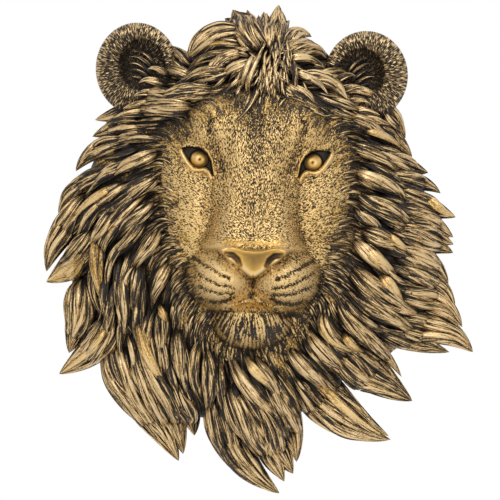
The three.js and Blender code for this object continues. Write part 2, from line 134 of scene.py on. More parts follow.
CREST_LOCKS = [
    (1.5, 42, 160, -14.4, 36.6, 246, 0.6, 0.4),
    (0, 38.6, 160, -11.4, 31.8, 250, 0.42, 0.6),
    (2, 38.6, 132, -4.8, 49, 122, 0.8, 0.25),
    (1, 40, 122, -1.8, 49, 104, 0.5, 0.3),
    (2.2, 39, 100, 1.6, 48.6, 92, 0.6, 0.7),
    (3.6, 38.6, 80, 4.7, 50, 80, 0.62, 0.45),
    (3.6, 39.4, 56, 11.4, 43.4, 325, 0.58, 0.5),
    (4.4, 38, 45, 15.4, 38, 305, 0.5, 0.45),
    (7, 33, 40, 18.6, 30.4, 300, 0.42, 0.45),
    (0.4, 39.6, 215, -3.7, 29.5, 262, 0.36, 0.5),
    (-2.3, 35.5, 170, -16.6, 32, 225, 0.34, 0.5),
    (-5.4, 31.5, 175, -22.7, 29.4, 200, 0.3, 0.5),
    (-9.4, 28.2, 180, -29.2, 27, 200, 0.26, 0.5),
    (-11.5, 34, 150, -21.5, 34.6, 220, 0.42, 0.5),
    (-14.5, 30, 165, -25.5, 29.6, 220, 0.42, 0.5),
    (1.8, 38.6, 275, 1.2, 28.4, 268, 0.5, 0.5),
    (3.4, 34.5, 330, 13.4, 27.6, 320, 0.38, 0.5),
    (11, 33.5, 30, 20.4, 33.8, 320, 0.42, 0.5),
]
# Tufts that lie over the crest.
CREST_TUFTS = [
    (0.5, 43.4, 158, -9.6, 42.2, 212, 0.3, 0.7),
    (-1, 41.8, 165, -12.4, 40.2, 222, 0.27, 0.5),
    (0, 40.6, 168, -13.8, 38.2, 236, 0.24, 0.85),
    (-2, 38.8, 172, -14.2, 35.4, 240, 0.24, 0.6),
    (1.6, 41.2, 140, -6.8, 45.4, 168, 0.36, 0.15),
    (1.8, 42, 128, -3.4, 47.6, 135, 0.34, 0.2),
    (1, 38.8, 205, -7.4, 33.6, 250, 0.26, 0.6),
    (2.6, 40.4, 96, 2.2, 48.4, 88, 0.3, 0.9),
    (4, 40.6, 62, 8.6, 45.2, 20, 0.34, 0.6),
    (4.4, 39, 48, 12.4, 41.8, 330, 0.28, 0.75),
    (5, 37.6, 30, 14.4, 36.2, 310, 0.24, 0.5),
    (5.6, 36, 350, 14.6, 31.4, 300, 0.24, 0.6),
    (1.2, 38.6, 235, -1.6, 31.2, 262, 0.2, 0.75),
    (2, 38, 262, 0, 29.6, 262, 0.18, 0.5),
    (0.8, 42.6, 130, -5.6, 45.6, 215, 0.62, 0.2),
    (-1, 41.6, 145, -8.2, 43.2, 215, 0.52, 0.35),
    (-1.4, 42.4, 140, -6.4, 47.2, 150, 0.6, 0.2),
    (1.2, 41.6, 102, 0.5, 47.9, 95, 0.42, 0.6),
    (2.2, 41.6, 95, 2.6, 47.8, 88, 0.4, 0.3),
    (4.2, 41.2, 75, 6.9, 46.8, 45, 0.5, 0.4),
    (6, 40.6, 50, 9.9, 44.4, 330, 0.45, 0.6),
    (-12.8, 36.4, 145, -18.6, 41.4, 150, 0.62, 0.3),
]
# The strands beside the band of short hair that runs from the crest's tip down to the brow.
PARTING = [
    (0.8, 40.8, 232, -3.2, 30.6, 262, 0.16, 0.5),
    (2.6, 42, 232, -0.8, 28, 292, 0.1, 0.95),
    (6.8, 40, 290, 7.6, 30.4, 262, 0.16, 0.5),
]
# Where the gold lies thicker or thinner, and painted shade where the mane lies in deep shadow: x, z, how
# wide, how high, and how much more gold.
GOLD_AND_SHADE_TONES = [
    (-4, 46.5, 4, 4, -0.34),
    (-9.5, 38, 3, 3.4, -0.36),
    (-15, 33, 3.4, 2.6, -0.28),
    (-19, 28, 3, 2.6, -0.2),
    (1.8, 37, 3.4, 3.4, 0.24),
    (4.4, 34.5, 2.6, 5, 0.22),
    (-30, 37, 4, 8, -0.1),
    (-22.6, 37, 3, 4, 0.14),
    (-29, -2, 7, 6, -0.08),
    (8, 28, 4, 2.4, -0.14),
    (-34.5, 17.5, 3, 3, -0.36),
    (-26, 8, 6, 3.6, -0.26),
    (-34.5, -2.6, 3.4, 4, -0.4),
    (-27.5, -8, 7, 4, -0.22),
    (-22, -15.5, 5, 5, -0.26),
    (-14, -23, 3, 3, -0.16),
    (-6, -40, 6, 6, -0.16),
    (22, -11, 3, 4, -0.28),
    (17, -23, 3.4, 3, -0.2),
    (28, 8, 3.4, 3.6, -0.4),
    (33, 11, 3.4, 4.4, -0.2),
    (-19, 12, 2.8, 8, 0.42),
    (-15, -4, 3, 4, 0.3),
    (17, 9, 2.8, 7, 0.3),
    (13, -4, 4, 3, 0.16),
    (19.5, 30, 4.4, 4, 0.36),
    (-25, 29, 4, 4, 0.16),
    (4, -22.5, 6, 3, 0.44),
    (-9, -15, 5, 4, 0.14),
    (14, 3, 4, 6, -0.1),
    (9.5, 27, 4, 3, -0.08),
    (-25, -14, 8, 9, -0.16),
    (-30, 2, 5, 9, -0.14),
    (0, -36, 8, 7, -0.22),
    (19, -4, 4, 5, -0.12),
    (37, -12, 4, 5, 0.14),
]
# Smooth, bright ridges that stand out of the mane.
FLAMES = [
    (-31.6, 5, 250, -30.2, -12, 295, 0.15, 1),
    (-33, 1.6, 232, -43, -6.6, 208, 0.2, 1),
    (-23.6, -10, 262, -16.6, -32, 296, 0.13, 1),
    (-19.6, -10.6, 275, -17.6, -16, 292, 0.34, 1),
    (-2.6, -20.6, 292, 5, -30, 312, 0.2, 1),
    (21.2, 1.6, 305, 29, -5.2, 325, 0.26, 1),
    (23.8, -4.4, 325, 30.4, -12, 300, 0.26, 1),
    (33, 11.6, 332, 40.6, 6.7, 340, 0.28, 1),
    (25.6, 4, 318, 32, -1, 328, 0.24, 1),
    (17.4, -16, 290, 22.8, -21.4, 340, 0.26, 1),
    (-29.4, -13, 250, -40, -25.4, 214, 0.12, 1),
    (10, -24, 312, 25.6, -38, 330, 0.1, 1),
    (-26, 14.4, 212, -38.4, 4, 246, 0.12, 1),
    (20, 24.6, 350, 31, 19.4, 312, 0.16, 1),
]
# Tufts in the hollow of the left ear, from its middle. The right ear's are mirrored.
EAR_TUFTS = [
    (4.6, -0.6, 120, -1.2, 3.4, 200, 0.12, 0.12),
    (4.5, -1.6, 130, -2, 2.2, 205, 0.11, 0.2),
    (4.5, -2.4, 140, -2.4, 0.8, 210, 0.12, 0.1),
    (4.3, -3.3, 145, -2.4, -0.6, 210, 0.12, 0.22),
    (4.2, -4.2, 150, -2.2, -2, 205, 0.13, 0.08),
    (3.8, -5.4, 160, -2.2, -3.4, 200, 0.15, 0.18),
    (3.4, -6.6, 165, -2.4, -5, 195, 0.16, 0.3),
]
# Hair that grows over the lower part of the ears.
EAR_CURLS = [
    (7.4, -2, 150, 2.2, -0.2, 205, 0.3, 0.35),
    (6.8, -3.8, 165, 0.4, -3, 215, 0.3, 0.45),
    (6, -5.6, 170, -0.8, -5.8, 215, 0.3, 0.55),
    (5, -7.4, 175, -2.8, -8.2, 200, 0.28, 0.5),
    (3.6, -9, 180, -4.8, -10.2, 205, 0.26, 0.45),
]
# Short hair at random places: in a swirl on the crest, in a band down from it, and on rings round the
# head and the face, which are shares of an outline with the number of hairs.
SWIRL = {"x": 2, "z": 38, "count": 90, "lift": 0.1}
BAND = {"top": 44.5, "fall": 16, "count": 120, "lift": 0.115}
FILL_RINGS = [(0.58, 44), (0.65, 52), (0.72, 56), (0.79, 56), (0.87, 50)]
FRINGE_RINGS = [(0.93, 100), (0.98, 110), (1.04, 120), (1.1, 120), (1.17, 110), (1.24, 90)]
# Where the flow turns by more than this many degrees, no short hair grows.
WHORL = 50
EDGE_LIFT, UPPER_LIFT, CREST_LIFT, TUFT_LIFT, PARTING_LIFT, FLAME_LIFT = 0.03, 0.08, 0.06, 0.09, 0.14, 0.125
# The size of a lock's faces in millimetres, across it and along it.
LOCK_CELL, FILL_CELL, SHORT_CELL = (0.62, 2.2), (0.62, 2.4), (0.7, 2.4)
HANDLE = 0.4
THICKNESS = 0.36
UNDERSIDE = 0.6
SURFACING = 0.35
EARS = [
    {"name": "left_ear", "x": -24.3, "z": 36.8, "across": 8.4, "up": 9.4, "hollow": (1.2, 0.8)},
    {"name": "right_ear", "x": 22.5, "z": 35.4, "across": 8.5, "up": 9.1, "hollow": (-1.2, 0.4)},
]
EAR_DEPTH, EAR_THICKNESS, EAR_RIM = 0.2, 0.11, 0.42
EAR_TUFT_DEPTH, EAR_CURL_DEPTH, EAR_TUFT_LIFT = 0.185, 0.3, 0.01


def smooth(low, high, value):
    t = np.clip((value - low) / (high - low), 0, 1)
    return t * t * (3 - 2 * t)


def noise_table(seed, size=64):
    return np.random.default_rng(seed).random((size, size))


def noise(table, a, b):
    """Smooth noise from 0 to 1 at places a, b, measured in cells of the table."""
    size = len(table)
    i, j = np.floor(a).astype(int), np.floor(b).astype(int)
    s, t = a - i, b - j
    s, t = s * s * (3 - 2 * s), t * t * (3 - 2 * t)
    at = lambda p, q: table[p % size, q % size]
    low = at(i, j) * (1 - s) + at(i + 1, j) * s
    high = at(i, j + 1) * (1 - s) + at(i + 1, j + 1) * s
    return low * (1 - t) + high * t


TABLES = [noise_table(seed) for seed in range(10)]


def edge_radius(angle, radii=EDGE_RADII):
    """Distance from the head's centre to an outline, given at even turns and rounded between them."""
    radii = np.array(radii, float)
    n = len(radii)
    turn = (angle / (2 * math.pi) * n) % n
    i = np.floor(turn).astype(int)
    t = turn - i
    a, b, c, d = (radii[(i + k) % n] for k in (-1, 0, 1, 2))
    return b + 0.5 * t * (c - a + t * (2 * a - 5 * b + 4 * c - d + t * (3 * (b - c) + d - a)))


def share_out(x, z, radii=EDGE_RADII):
    """How far out from the head's centre a place lies: 1 on the outline."""
    dx, dz = x - HEAD_CENTRE[0], z - HEAD_CENTRE[1]
    return np.hypot(dx, dz) / edge_radius(np.arctan2(dz, dx), radii)


def hill(x, z, cx, cz, across, up, rise):
    return rise * np.exp(-(((x - cx) / across) ** 2) - ((z - cz) / up) ** 2)


def bell(value, wide):
    return np.exp(-((value / wide) ** 2))


def hills(x, z, rows):
    return sum(hill(x, z, *row) for row in rows)


def mane_depth(x, z):
    x, z = np.asarray(x, float), np.asarray(z, float)
    share = np.minimum(1, share_out(x, z))
    rim = RIM_THICKNESS / DEPTH
    return rim + (MANE_CROWN - rim) * (1 - share * share) ** 0.75 + hills(x, z, MANE_SWELLINGS)


def face_share(x, z):
    """How far out of the face a place lies: 1 on the hairline."""
    return share_out(x, z, FACE_RADII)


def place(x, z, depth):
    return np.stack([x * PER_CENT, -depth * DEPTH, z * PER_CENT], -1)


# Face: the same forms as the solid's.
def dome(x, z, cx, cz, across, up, base, rise):
    left = 1 - ((x - cx) / across) ** 2 - ((z - cz) / up) ** 2
    return np.where(left > 0, base + rise * np.sqrt(np.maximum(left, 0)), base + left * rise)


def bridge(x, z):
    down = np.clip((24 - z) / 24, 0, 1)
    half = 4.4 + 3 * down
    top = 0.7 + 0.27 * down - 0.05 * np.sin(math.pi * down) - np.where(z < 0, 0.11 * -z, 0)
    return top - 0.055 * (np.abs(x) / half) ** 5 - 0.003 * np.maximum(0, z - 22) ** 2


FACE_DOMES = [
    (0, 12, 22.5, 25, 0.2, 0.55),
    (6, -5.6, 7.8, 7, 0.42, 0.51),
    (-6, -5.6, 7.8, 7, 0.42, 0.51),
    (0, -4, 14.5, 12, 0.3, 0.48),
    (0, -14.2, 8.2, 6.2, 0.4, 0.43),
    (12, 5, 8.5, 13, 0.3, 0.31),
    (-12, 5, 8.5, 13, 0.3, 0.31),
    (7.5, 24.5, 7, 6.5, 0.42, 0.31),
    (-7.5, 24.5, 7, 6.5, 0.42, 0.31),
]
FACE_HILLS = [
    (10.4, 16.6, 4.4, 4.2, -0.07),
    (-10.4, 16.6, 4.4, 4.2, -0.07),
    (0, 27, 1.4, 6, -0.035),
    (9.2, 8.5, 1.5, 6, -0.035),
    (-9.2, 8.5, 1.5, 6, -0.035),
    (0, -7, 0.7, 2.2, -0.07),
    (0, -11.2, 6, 1, -0.06),
]
BLEND = 0.045


def blended(depths):
    """The highest of several surfaces, rounded where they meet."""
    most = depths.max(0)
    return most + BLEND * np.log(np.exp((depths - most) / BLEND).sum(0))


def face_depth(x, z):
    forms = [bridge(x, z)] + [dome(x, z, *form) for form in FACE_DOMES]
    return blended(np.stack(forms)) + hills(x, z, FACE_HILLS)


def turned(x, z, angle):
    """Places moved round the brow."""
    c, s = math.cos(angle), math.sin(angle)
    dx, dz = x - FACE_PIVOT[0], z - FACE_PIVOT[1]
    return FACE_PIVOT[0] + dx * c + dz * s, FACE_PIVOT[1] + dz * c - dx * s


def joined(face, mane):
    """The depth of the face where it runs out into the mane."""
    return blended(np.stack([face, mane]))


def tilted(points):
    """Face points, turned with the head about the brow."""
    x, z = turned(points[..., 0] / PER_CENT, points[..., 2] / PER_CENT, FACE_TILT)
    return np.stack([x * PER_CENT, points[..., 1], z * PER_CENT], -1)


# Materials. Directions and sizes of the grain and strands, and the paint's colour from bare to thick.
HAIR_WAYS = [math.radians(turn) for turn in (90, 30, 150)]
HAIR_WIDE, HAIR_LONG, HAIR_CONTRAST = 0.67 * MM, 1.9 * MM, 3.9
STRAND_WIDE, STRAND_LONG = 0.85 * MM, 16 * MM
PATCH = 14 * MM
GRAIN_DEEP = 4
PAINT = [
    (0, (0.012, 0.0079, 0.0052)),
    (0.2, (0.026, 0.0168, 0.0092)),
    (0.4, (0.105, 0.069, 0.031)),
    (0.6, (0.31, 0.195, 0.072)),
    (0.8, (0.53, 0.335, 0.112)),
    # The thickest gold is paler: partly its own colour, partly a painted reflection of white light in its
    # glints.
    (1, (0.7, 0.52, 0.275)),
]


def add_node(tree, kind, values=(), **settings):
    """A shader node with its settings, and with constants or links on its sockets."""
    node = tree.nodes.new("ShaderNode" + kind)
    for key, value in settings.items():
        setattr(node, key, value)
    for socket, value in dict(values).items():
        if isinstance(value, bpy.types.NodeSocket):
            tree.links.new(value, node.inputs[socket])
        else:
            node.inputs[socket].default_value = value
    return node


def antique_gold(name):
    """Black resin under dry-brushed gold: the mesh says how much gold, and fine grain breaks its edge."""
    made = bpy.data.materials.new(name)
    made.use_nodes = True
    made.node_tree.nodes.clear()
    add = partial(add_node, made.node_tree)

    def math_node(kind, *values):
        return add("Math", enumerate(values), operation=kind).outputs[0]

    def ranged(value, low, high, out_low=0.0, out_high=1.0):
        ends = {"From Min": low, "From Max": high, "To Min": out_low, "To Max": out_high}
        return add("MapRange", {"Value": value, **ends}).outputs["Result"]

    def specks(vector, detail):
        return add("TexNoise", {"Vector": vector, "Scale": 1, "Detail": detail}).outputs["Fac"]

    def grain(turn, wide, long, detail):
        """Noise drawn out along a direction in the plane of the wall, with specks so wide and so long."""
        values = {"Vector": places, "Rotation": (0, turn, 0), "Scale": (long, GRAIN_DEEP * wide, wide)}
        return specks(add("Mapping", values, vector_type="TEXTURE").outputs["Vector"], detail)

    places = add("TexCoord").outputs["Object"]
    gilt, fur, strand = (add("Attribute", attribute_name=name) for name in ("gold", "fur", "strand"))
    hairs = 0.0
    for turn, amount in zip(HAIR_WAYS, add("SeparateXYZ", {"Vector": fur.outputs["Vector"]}).outputs):
        hair = math_node("SUBTRACT", grain(-turn, HAIR_WIDE, HAIR_LONG, 1), 0.5)
        hairs = math_node("MULTIPLY_ADD", hair, amount, hairs)
    shrink = (1 / STRAND_WIDE, 1 / STRAND_LONG, 0)
    drawn = add("VectorMath", {0: strand.outputs["Vector"], 1: shrink}, operation="MULTIPLY")
    line = math_node("SUBTRACT", specks(drawn.outputs["Vector"], 1), 0.5)
    line_amount = add("SeparateXYZ", {"Vector": strand.outputs["Vector"]}).outputs["Z"]
    hairs = math_node("MULTIPLY_ADD", line, line_amount, hairs)

    shaken = math_node("MULTIPLY_ADD", hairs, HAIR_CONTRAST, gilt.outputs["Fac"])
    shaken = math_node("MULTIPLY_ADD", grain(0, PATCH, PATCH, 3), 0.3, shaken)
    cover = ranged(shaken, 0.15, 1.15)
    ramp = add("ValToRGB", {"Fac": cover})
    stops = ramp.color_ramp.elements
    stops[0].color, stops[1].color = (*PAINT[0][1], 1), (*PAINT[-1][1], 1)
    for position, color in PAINT[1:-1]:
        stops.new(position).color = (*color, 1)
    # Smooth gold is warmer than the gold on strands, whose paler gold is partly a painted reflection of white
    # light.
    warmth = ranged(line_amount, 0, 1.2, 1.09, 0.92)
    toned = add("HueSaturation", {"Saturation": warmth, "Color": ramp.outputs["Color"]})
    bump = add("Bump", {"Strength": 0.5, "Distance": 1.2 * MM, "Height": hairs})
    surface = {
        "Base Color": toned.outputs["Color"],
        "Metallic": ranged(cover, 0.25, 0.6, 0, 0.7),
        "Roughness": ranged(cover, 0, 1, 0.5, 0.38),
        "Specular IOR Level": 0.3,
        "Normal": bump.outputs["Normal"],
    }
    add("OutputMaterial", {"Surface": add("BsdfPrincipled", surface).outputs["BSDF"]})
    return made


GOLD = antique_gold("antique_gold")
MADE = []


def gather(name, points, faces, gold, way=0.0, fur=0.0, strand=(0, 0, 0), smooth_shade=True):
    """Keeps a mesh until the depths of all of them are known. Its fur runs at the angle way.

    A place across and along a lock, and how much its fine hairs show, are the strand."""
    points = np.asarray(points, float).reshape(-1, 3)
    way, fur = (np.broadcast_to(np.ravel(v), len(points)) for v in (way, fur))
    near = np.stack([np.cos(way - turn) ** 2 for turn in HAIR_WAYS], -1) ** 3
    hairs = near / near.sum(1, keepdims=True) * fur[:, None]
    strand = np.broadcast_to(strand, points.shape)
    MADE.append((name, points, np.asarray(faces), np.ravel(gold), hairs, strand, smooth_shade))


def blurred(field, radius):
    """Box blur, three times over."""
    span = 2 * radius + 1
    for _ in range(3):
        for axis in (0, 1):
            margins = [(radius + 1, radius) if k == axis else (0, 0) for k in (0, 1)]
            total = np.cumsum(np.pad(field, margins, mode="edge"), axis=axis)
            n = field.shape[axis]
            field = (np.take(total, range(span, span + n), axis) - np.take(total, range(n), axis)) / span
    return field


def dry_brushed_and_shaded():
    """Takes gold off what is deeper than its surroundings, adds it to what stands out, makes the pieces. The
    loss in deep places is partly the black that dry-brushing leaves in hollows and partly painted shade; the
    tones added last also hold painted shade.
    """
    cell, low = 1.0 * MM, (-0.2, -0.22)
    wide, high = 400, 440
    depth = np.zeros((high, wide))
    index = lambda p: (
        np.clip(((p[:, 2] - low[1]) / cell).astype(int), 0, high - 1),
        np.clip(((p[:, 0] - low[0]) / cell).astype(int), 0, wide - 1),
    )
    for _, points, *_ in MADE:
        np.maximum.at(depth, index(points), -points[:, 1])
    near, far = blurred(depth, 2), blurred(depth, 6)
    for name, points, faces, gold, hairs, strand, smooth_shade in MADE:
        i, j = index(points)
        y = -points[:, 1]
        # Partly painted shade: places deeper than their neighbours lose gold, as black stays in hollows after
        # dry-brushing and as shade falls in the gaps between locks.
        sunk = np.clip((y - near[i, j]) / (3 * MM), -1.3, 0.5) * 0.24
        sunk = sunk + np.clip((y - far[i, j]) / (9 * MM), -1.4, 0.6) * (0.16 if name == "face" else 0.32)
        sunk = sunk + hills(points[:, 0] / PER_CENT, points[:, 2] / PER_CENT, GOLD_AND_SHADE_TONES)
        piece(name, points, faces, gold + sunk, hairs, strand, smooth_shade)


def piece(name, points, faces, gold, hairs, strand, smooth_shade):
    """A mesh from arrays of points and of faces, all with as many corners, riding as part of the head."""
    points, faces = np.asarray(points, np.float32), np.asarray(faces, np.int32)
    mesh = bpy.data.meshes.new(name)
    mesh.vertices.add(len(points))
    mesh.vertices.foreach_set("co", points.ravel())
    corners = faces.shape[1]
    mesh.loops.add(faces.size)
    mesh.loops.foreach_set("vertex_index", faces.ravel())
    mesh.polygons.add(len(faces))
    mesh.polygons.foreach_set("loop_start", np.arange(0, faces.size, corners, dtype=np.int32))
    mesh.update(calc_edges=True)
    mesh.validate()
    attribute = mesh.attributes.new("gold", "FLOAT", "POINT")
    attribute.data.foreach_set("value", np.asarray(gold, np.float32))
    for field, values in (("fur", hairs), ("strand", strand)):
        attribute = mesh.attributes.new(field, "FLOAT_VECTOR", "POINT")
        attribute.data.foreach_set("vector", np.asarray(values, np.float32).ravel())
    mesh.materials.append(GOLD)
    mesh.polygons.foreach_set("use_smooth", np.full(len(mesh.polygons), smooth_shade))
    made = bpy.data.objects.new(name, mesh)
    bpy.context.scene.collection.objects.link(made)
    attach(made, "root")
    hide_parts("lion_head")


def grid_faces(rows, columns, closed=False):
    r, c = np.meshgrid(np.arange(rows - 1), np.arange(columns if closed else columns - 1), indexing="ij")
    a = r * columns + c
    b = r * columns + (c + 1) % columns
    return np.stack([a, b, b + columns, a + columns], -1).reshape(-1, 4)


def gather_sheet(name, points, masks, gold, way, fur):
    """Keeps the faces of a grid that touch each of the masks."""
    faces = grid_faces(*gold.shape)
    for mask in masks:
        faces = faces[mask.ravel()[faces].any(1)]
    used = np.unique(faces)
    renumber = np.full(gold.size, -1)
    renumber[used] = np.arange(len(used))
    take = lambda values: np.broadcast_to(values, gold.shape).ravel()[used]
    gather(name, points.reshape(-1, 3)[used], renumber[faces], take(gold), take(way), take(fur))


def normalised(v):
    return v / np.maximum(np.linalg.norm(v, axis=-1, keepdims=True), 1e-12)


def swell(t):
    """Half width along a lock, from a pointed root to a pointed tip."""
    return np.sin(math.pi / 2 * np.minimum(1, t / 0.45)) ** 0.8 * (1 - np.minimum(t, 1) ** 2.5) ** 0.8


def curve(row):
    """A lock's length and its path."""
    x0, z0, h0, x1, z1, h1 = row[:6]
    length = math.hypot(x1 - x0, z1 - z0)
    h0, h1 = math.radians(h0), math.radians(h1)
    reach = HANDLE * length
    knots = np.array([
        (x0, z0),
        (x0 + reach * math.cos(h0), z0 + reach * math.sin(h0)),
        (x1 - reach * math.cos(h1), z1 - reach * math.sin(h1)),
        (x1, z1),
    ])

    def path(t):
        return np.stack([(1 - t) ** 3, 3 * t * (1 - t) ** 2, 3 * t * t * (1 - t), t**3], -1) @ knots

    return length, path


def outward(p, ahead):
    """The way a lock's upper side faces: out of the wall, leaning away from the head's centre."""
    x, z = p[:, 0] / PER_CENT - HEAD_CENTRE[0], p[:, 2] / PER_CENT - HEAD_CENTRE[1]
    out = np.array([0, -1, 0]) + 0.45 * normalised(np.stack([x, 0 * x, z], -1))
    return normalised(out - ahead * (out * ahead).sum(1, keepdims=True))


def strands(p, out, half, gilt, rng, cell, tall=1.0, fade=0.0):
    """The body of a lock along its spine, carved with coarse strands and with fine hairs along it."""
    ahead = normalised(np.gradient(p, axis=0))
    side = np.cross(ahead, out)
    width = 2 * half.max()
    run = np.concatenate([[0], np.cumsum(np.linalg.norm(np.diff(p, axis=0), axis=1))])
    columns = int(np.clip(width / (cell * MM), 7, 78))
    u = np.sin(np.linspace(-1, 1, columns) * math.pi / 2 * 0.85) / math.sin(math.pi / 2 * 0.85)
    uu, rr = np.meshgrid(u, run)
    seed = rng.random(8) * 60
    coarse_count = max(1.0, width / (6.6 * MM)) * (0.8 + 0.4 * rng.random())
    fine_count = max(2.0, width / (1.8 * MM))
    wander = 0.22 * (noise(TABLES[0], rr / 0.03 + seed[0], uu * 1.2 + seed[1]) - 0.5)
    across = (uu + wander) * 0.5 + 0.5
    sway = noise(TABLES[7], across * coarse_count * 0.8 + seed[6], rr / 0.06) - 0.5
    across = across + 0.5 / coarse_count * sway
    phase = across * coarse_count + seed[2]
    coarse = smooth(0.05, 0.8, np.abs(np.sin(math.pi * phase)))
    own = noise(TABLES[1], np.floor(phase) * 7.3 + seed[3], rr / 0.045)
    waver = 1.4 * (noise(TABLES[2], across * coarse_count * 1.5 + seed[4], rr / 0.018) - 0.5)
    hair = np.abs(np.sin(math.pi * (across * fine_count + waver)))
    streak = noise(TABLES[3], across * fine_count * 1.3 + waver + seed[5], rr / 0.011)
    crown = (1 - np.abs(uu) ** 2.4 * 0.97) ** 0.7
    local = half[:, None]
    sleek = gilt >= 1
    relief = np.minimum(local * 0.45, 2.4 * MM) * (coarse - 0.65 + 0.9 * (own - 0.5)) * (0.4 if sleek else 1)
    relief = relief + np.minimum(local * 0.2, 0.8 * MM) * (hair**0.7 - 0.6 + 1.0 * (streak - 0.5))
    over = 0.78 * crown * THICKNESS * 2 * local * tall + relief * smooth(0, 0.12, 1 - np.abs(uu))
    top = p[:, None] + side[:, None] * (uu * local)[..., None] + out[:, None] * over[..., None]
    low_u = np.array([0.66, 0.0, -0.66])
    low_h = -UNDERSIDE * np.array([0.34, 1.0, 0.34]) * THICKNESS * 2
    low = (
        p[:, None]
        + side[:, None] * (low_u * half[:, None])[..., None]
        + out[:, None] * (low_h * half[:, None])[..., None]
    )
    ring = np.concatenate([top, low], 1)
    raised = 0.8 * (coarse - 0.6) + 0.5 * (hair**0.7 - 0.66) + 0.7 * (streak - 0.5) + 1.0 * (own - 0.5)
    calm = 1 - 0.4 * smooth(0.55, 0.9, gilt) - 0.35 * smooth(0.95, 1, gilt)
    gold = (-0.08 if sleek else -0.2) + 0.7 * gilt + raised * calm + 0.2 * (crown - 0.8)
    gold = gold + np.reshape(fade, (-1, 1))
    gold = np.concatenate([gold, np.full((len(p), 3), -0.2)], 1)
    way = np.broadcast_to(np.arctan2(ahead[:, 2], ahead[:, 0])[:, None], gold.shape)
    strand = np.stack([across * width + seed[7], rr, np.full_like(rr, 0.35 if sleek else 1.0)], -1)
    strand = np.concatenate([strand, strand[:, :3]], 1)
    faces = grid_faces(len(p), ring.shape[1], closed=True)
    return ring.reshape(-1, 3), faces, gold.ravel(), way.ravel(), strand.reshape(-1, 3)


def lock(row, lift, rng, cell, base=mane_depth, young=0, root_dark=0.46):
    """One lock with the smaller ones that lie along it."""
    length, path = curve(row)
    cell, stride = cell
    width, gilt = row[6] * length * PER_CENT, row[7]
    steps = int(np.clip(length * PER_CENT / (stride * MM), 9, 70))
    t = np.linspace(0, 1, steps + 1)
    sunk = THICKNESS * width / DEPTH

    def spine(t):
        b = path(t)
        up, down = smooth(0, SURFACING, t), smooth(0.5, 1, t)
        return place(b[:, 0], b[:, 1], base(b[:, 0], b[:, 1]) + lift * (up - 0.7 * down) - sunk * (1 - up))

    p = spine(t)
    out = outward(p, normalised(np.gradient(p, axis=0)))
    half = width * swell(t) / 2
    fade = 0.06 - root_dark * (1 - smooth(0, 0.5, t))
    made = [strands(p, out, half, gilt, rng, cell, fade=fade)]
    side = np.cross(normalised(np.gradient(p, axis=0)), out)
    places = (np.arange(young) + 0.5) / max(young, 1) * 1.5 - 0.75
    for at in rng.permutation(places):
        s = np.linspace(0, 1, max(9, int(steps * 0.85)))
        first, last = 0.04 + 0.3 * rng.random(), 0.9 + 0.1 * rng.random()
        along = first + (last - first) * s
        u0, u1 = at + 0.2 * (rng.random() - 0.5), at * 0.75 + 0.3 * (rng.random() - 0.5)
        u = u0 + (u1 - u0) * s + 0.16 * np.sin(2 * math.pi * (s * 0.9 + rng.random()))
        take = lambda a: np.stack([np.interp(along, t, a[:, k]) for k in range(3)], -1)
        room = np.interp(along, t, half)
        own_half = width * (0.13 + 0.1 * rng.random()) * np.sin(math.pi * s**0.85) ** 0.8
        own_half = np.minimum(own_half, np.maximum(room, 0.5 * MM) * 0.7)
        crown = (1 - np.minimum(np.abs(u), 0.98) ** 2.4) ** 0.7
        height = 0.85 * crown * THICKNESS * 2 * room - own_half * 0.3
        height = height + (2.2 * np.sin(math.pi * s) ** 0.7 - 1.3) * MM
        q = take(p) + take(side) * (u * room)[:, None] + take(out) * height[:, None]
        shade = gilt + 0.1 + 0.45 * (rng.random() - 0.5)
        made.append(strands(q, normalised(take(out)), own_half, shade, rng, cell, tall=1.1))
    return made


def bundle(name, made):
    """Many locks as one piece."""
    starts = np.cumsum([0] + [len(part[0]) for part in made])
    points, gold, way, strand = (np.concatenate([part[k] for part in made]) for k in (0, 2, 3, 4))
    faces = np.concatenate([part[1] + start for part, start in zip(made, starts)])
    gather(name, points, faces, gold, way, 0.35, strand)


def flow_samples():
    """Places and ways of the hair: along every lock, and outwards round the face."""
    places, ways = [], []
    for row in EDGE_LOCKS + UPPER_LOCKS + CREST_LOCKS:
        _, path = curve(row)
        t = np.linspace(0.1, 0.95, 7)
        places.append(path(t))
        ways.append(normalised(path(t + 0.02) - path(t - 0.02)))
    angle = np.arange(72) / 72 * 2 * math.pi
    for share in (0.8, 0.9):
        reach = share * edge_radius(angle, FACE_RADII)
        around = np.stack([reach * np.cos(angle), HEAD_CENTRE[1] + reach * np.sin(angle)], -1)
        places.append(around)
        ways.append(normalised(around))
    return np.concatenate(places), np.concatenate(ways)


FLOW_PLACES, FLOW_WAYS = flow_samples()


def flow(x, z):
    """The way the hair runs at given places."""
    x, z = np.asarray(x, float), np.asarray(z, float)
    near = np.hypot(FLOW_PLACES[:, 0] - x[..., None], FLOW_PLACES[:, 1] - z[..., None])
    weight = 1 / (near + 1.0) ** 4
    way = (FLOW_WAYS[:, 0] * weight).sum(-1), (FLOW_WAYS[:, 1] * weight).sum(-1)
    size = np.hypot(*way) + 1e-12
    return way[0] / size, way[1] / size


def sampled(field, i, j):
    """Values of a field between its cells, and at its edge beyond them."""
    rows, columns = field.shape
    i, j = np.clip(i, 0, rows - 1.001), np.clip(j, 0, columns - 1.001)
    a, b = i.astype(int), j.astype(int)
    s, t = i - a, j - b
    low = field[a, b] * (1 - t) + field[a, b + 1] * t
    high = field[a + 1, b] * (1 - t) + field[a + 1, b + 1] * t
    return low * (1 - s) + high * s


def spread(coarse, xs, zs, cx, cz):
    """Values on a coarse grid, carried over to a fine one."""
    i, j = (zs - cz[0]) / (cz[1] - cz[0]), (xs - cx[0]) / (cx[1] - cx[0])
    return sampled(coarse, i[:, None], j[None])


def head_base(x, z):
    """The surface that hair round the face grows from."""
    return joined(face_depth(*turned(x, z, -FACE_TILT)), mane_depth(x, z))


def heading(x, z):
    """The way of the hair at a place, in degrees."""
    across, up = flow(x, z)
    return math.degrees(math.atan2(up, across))


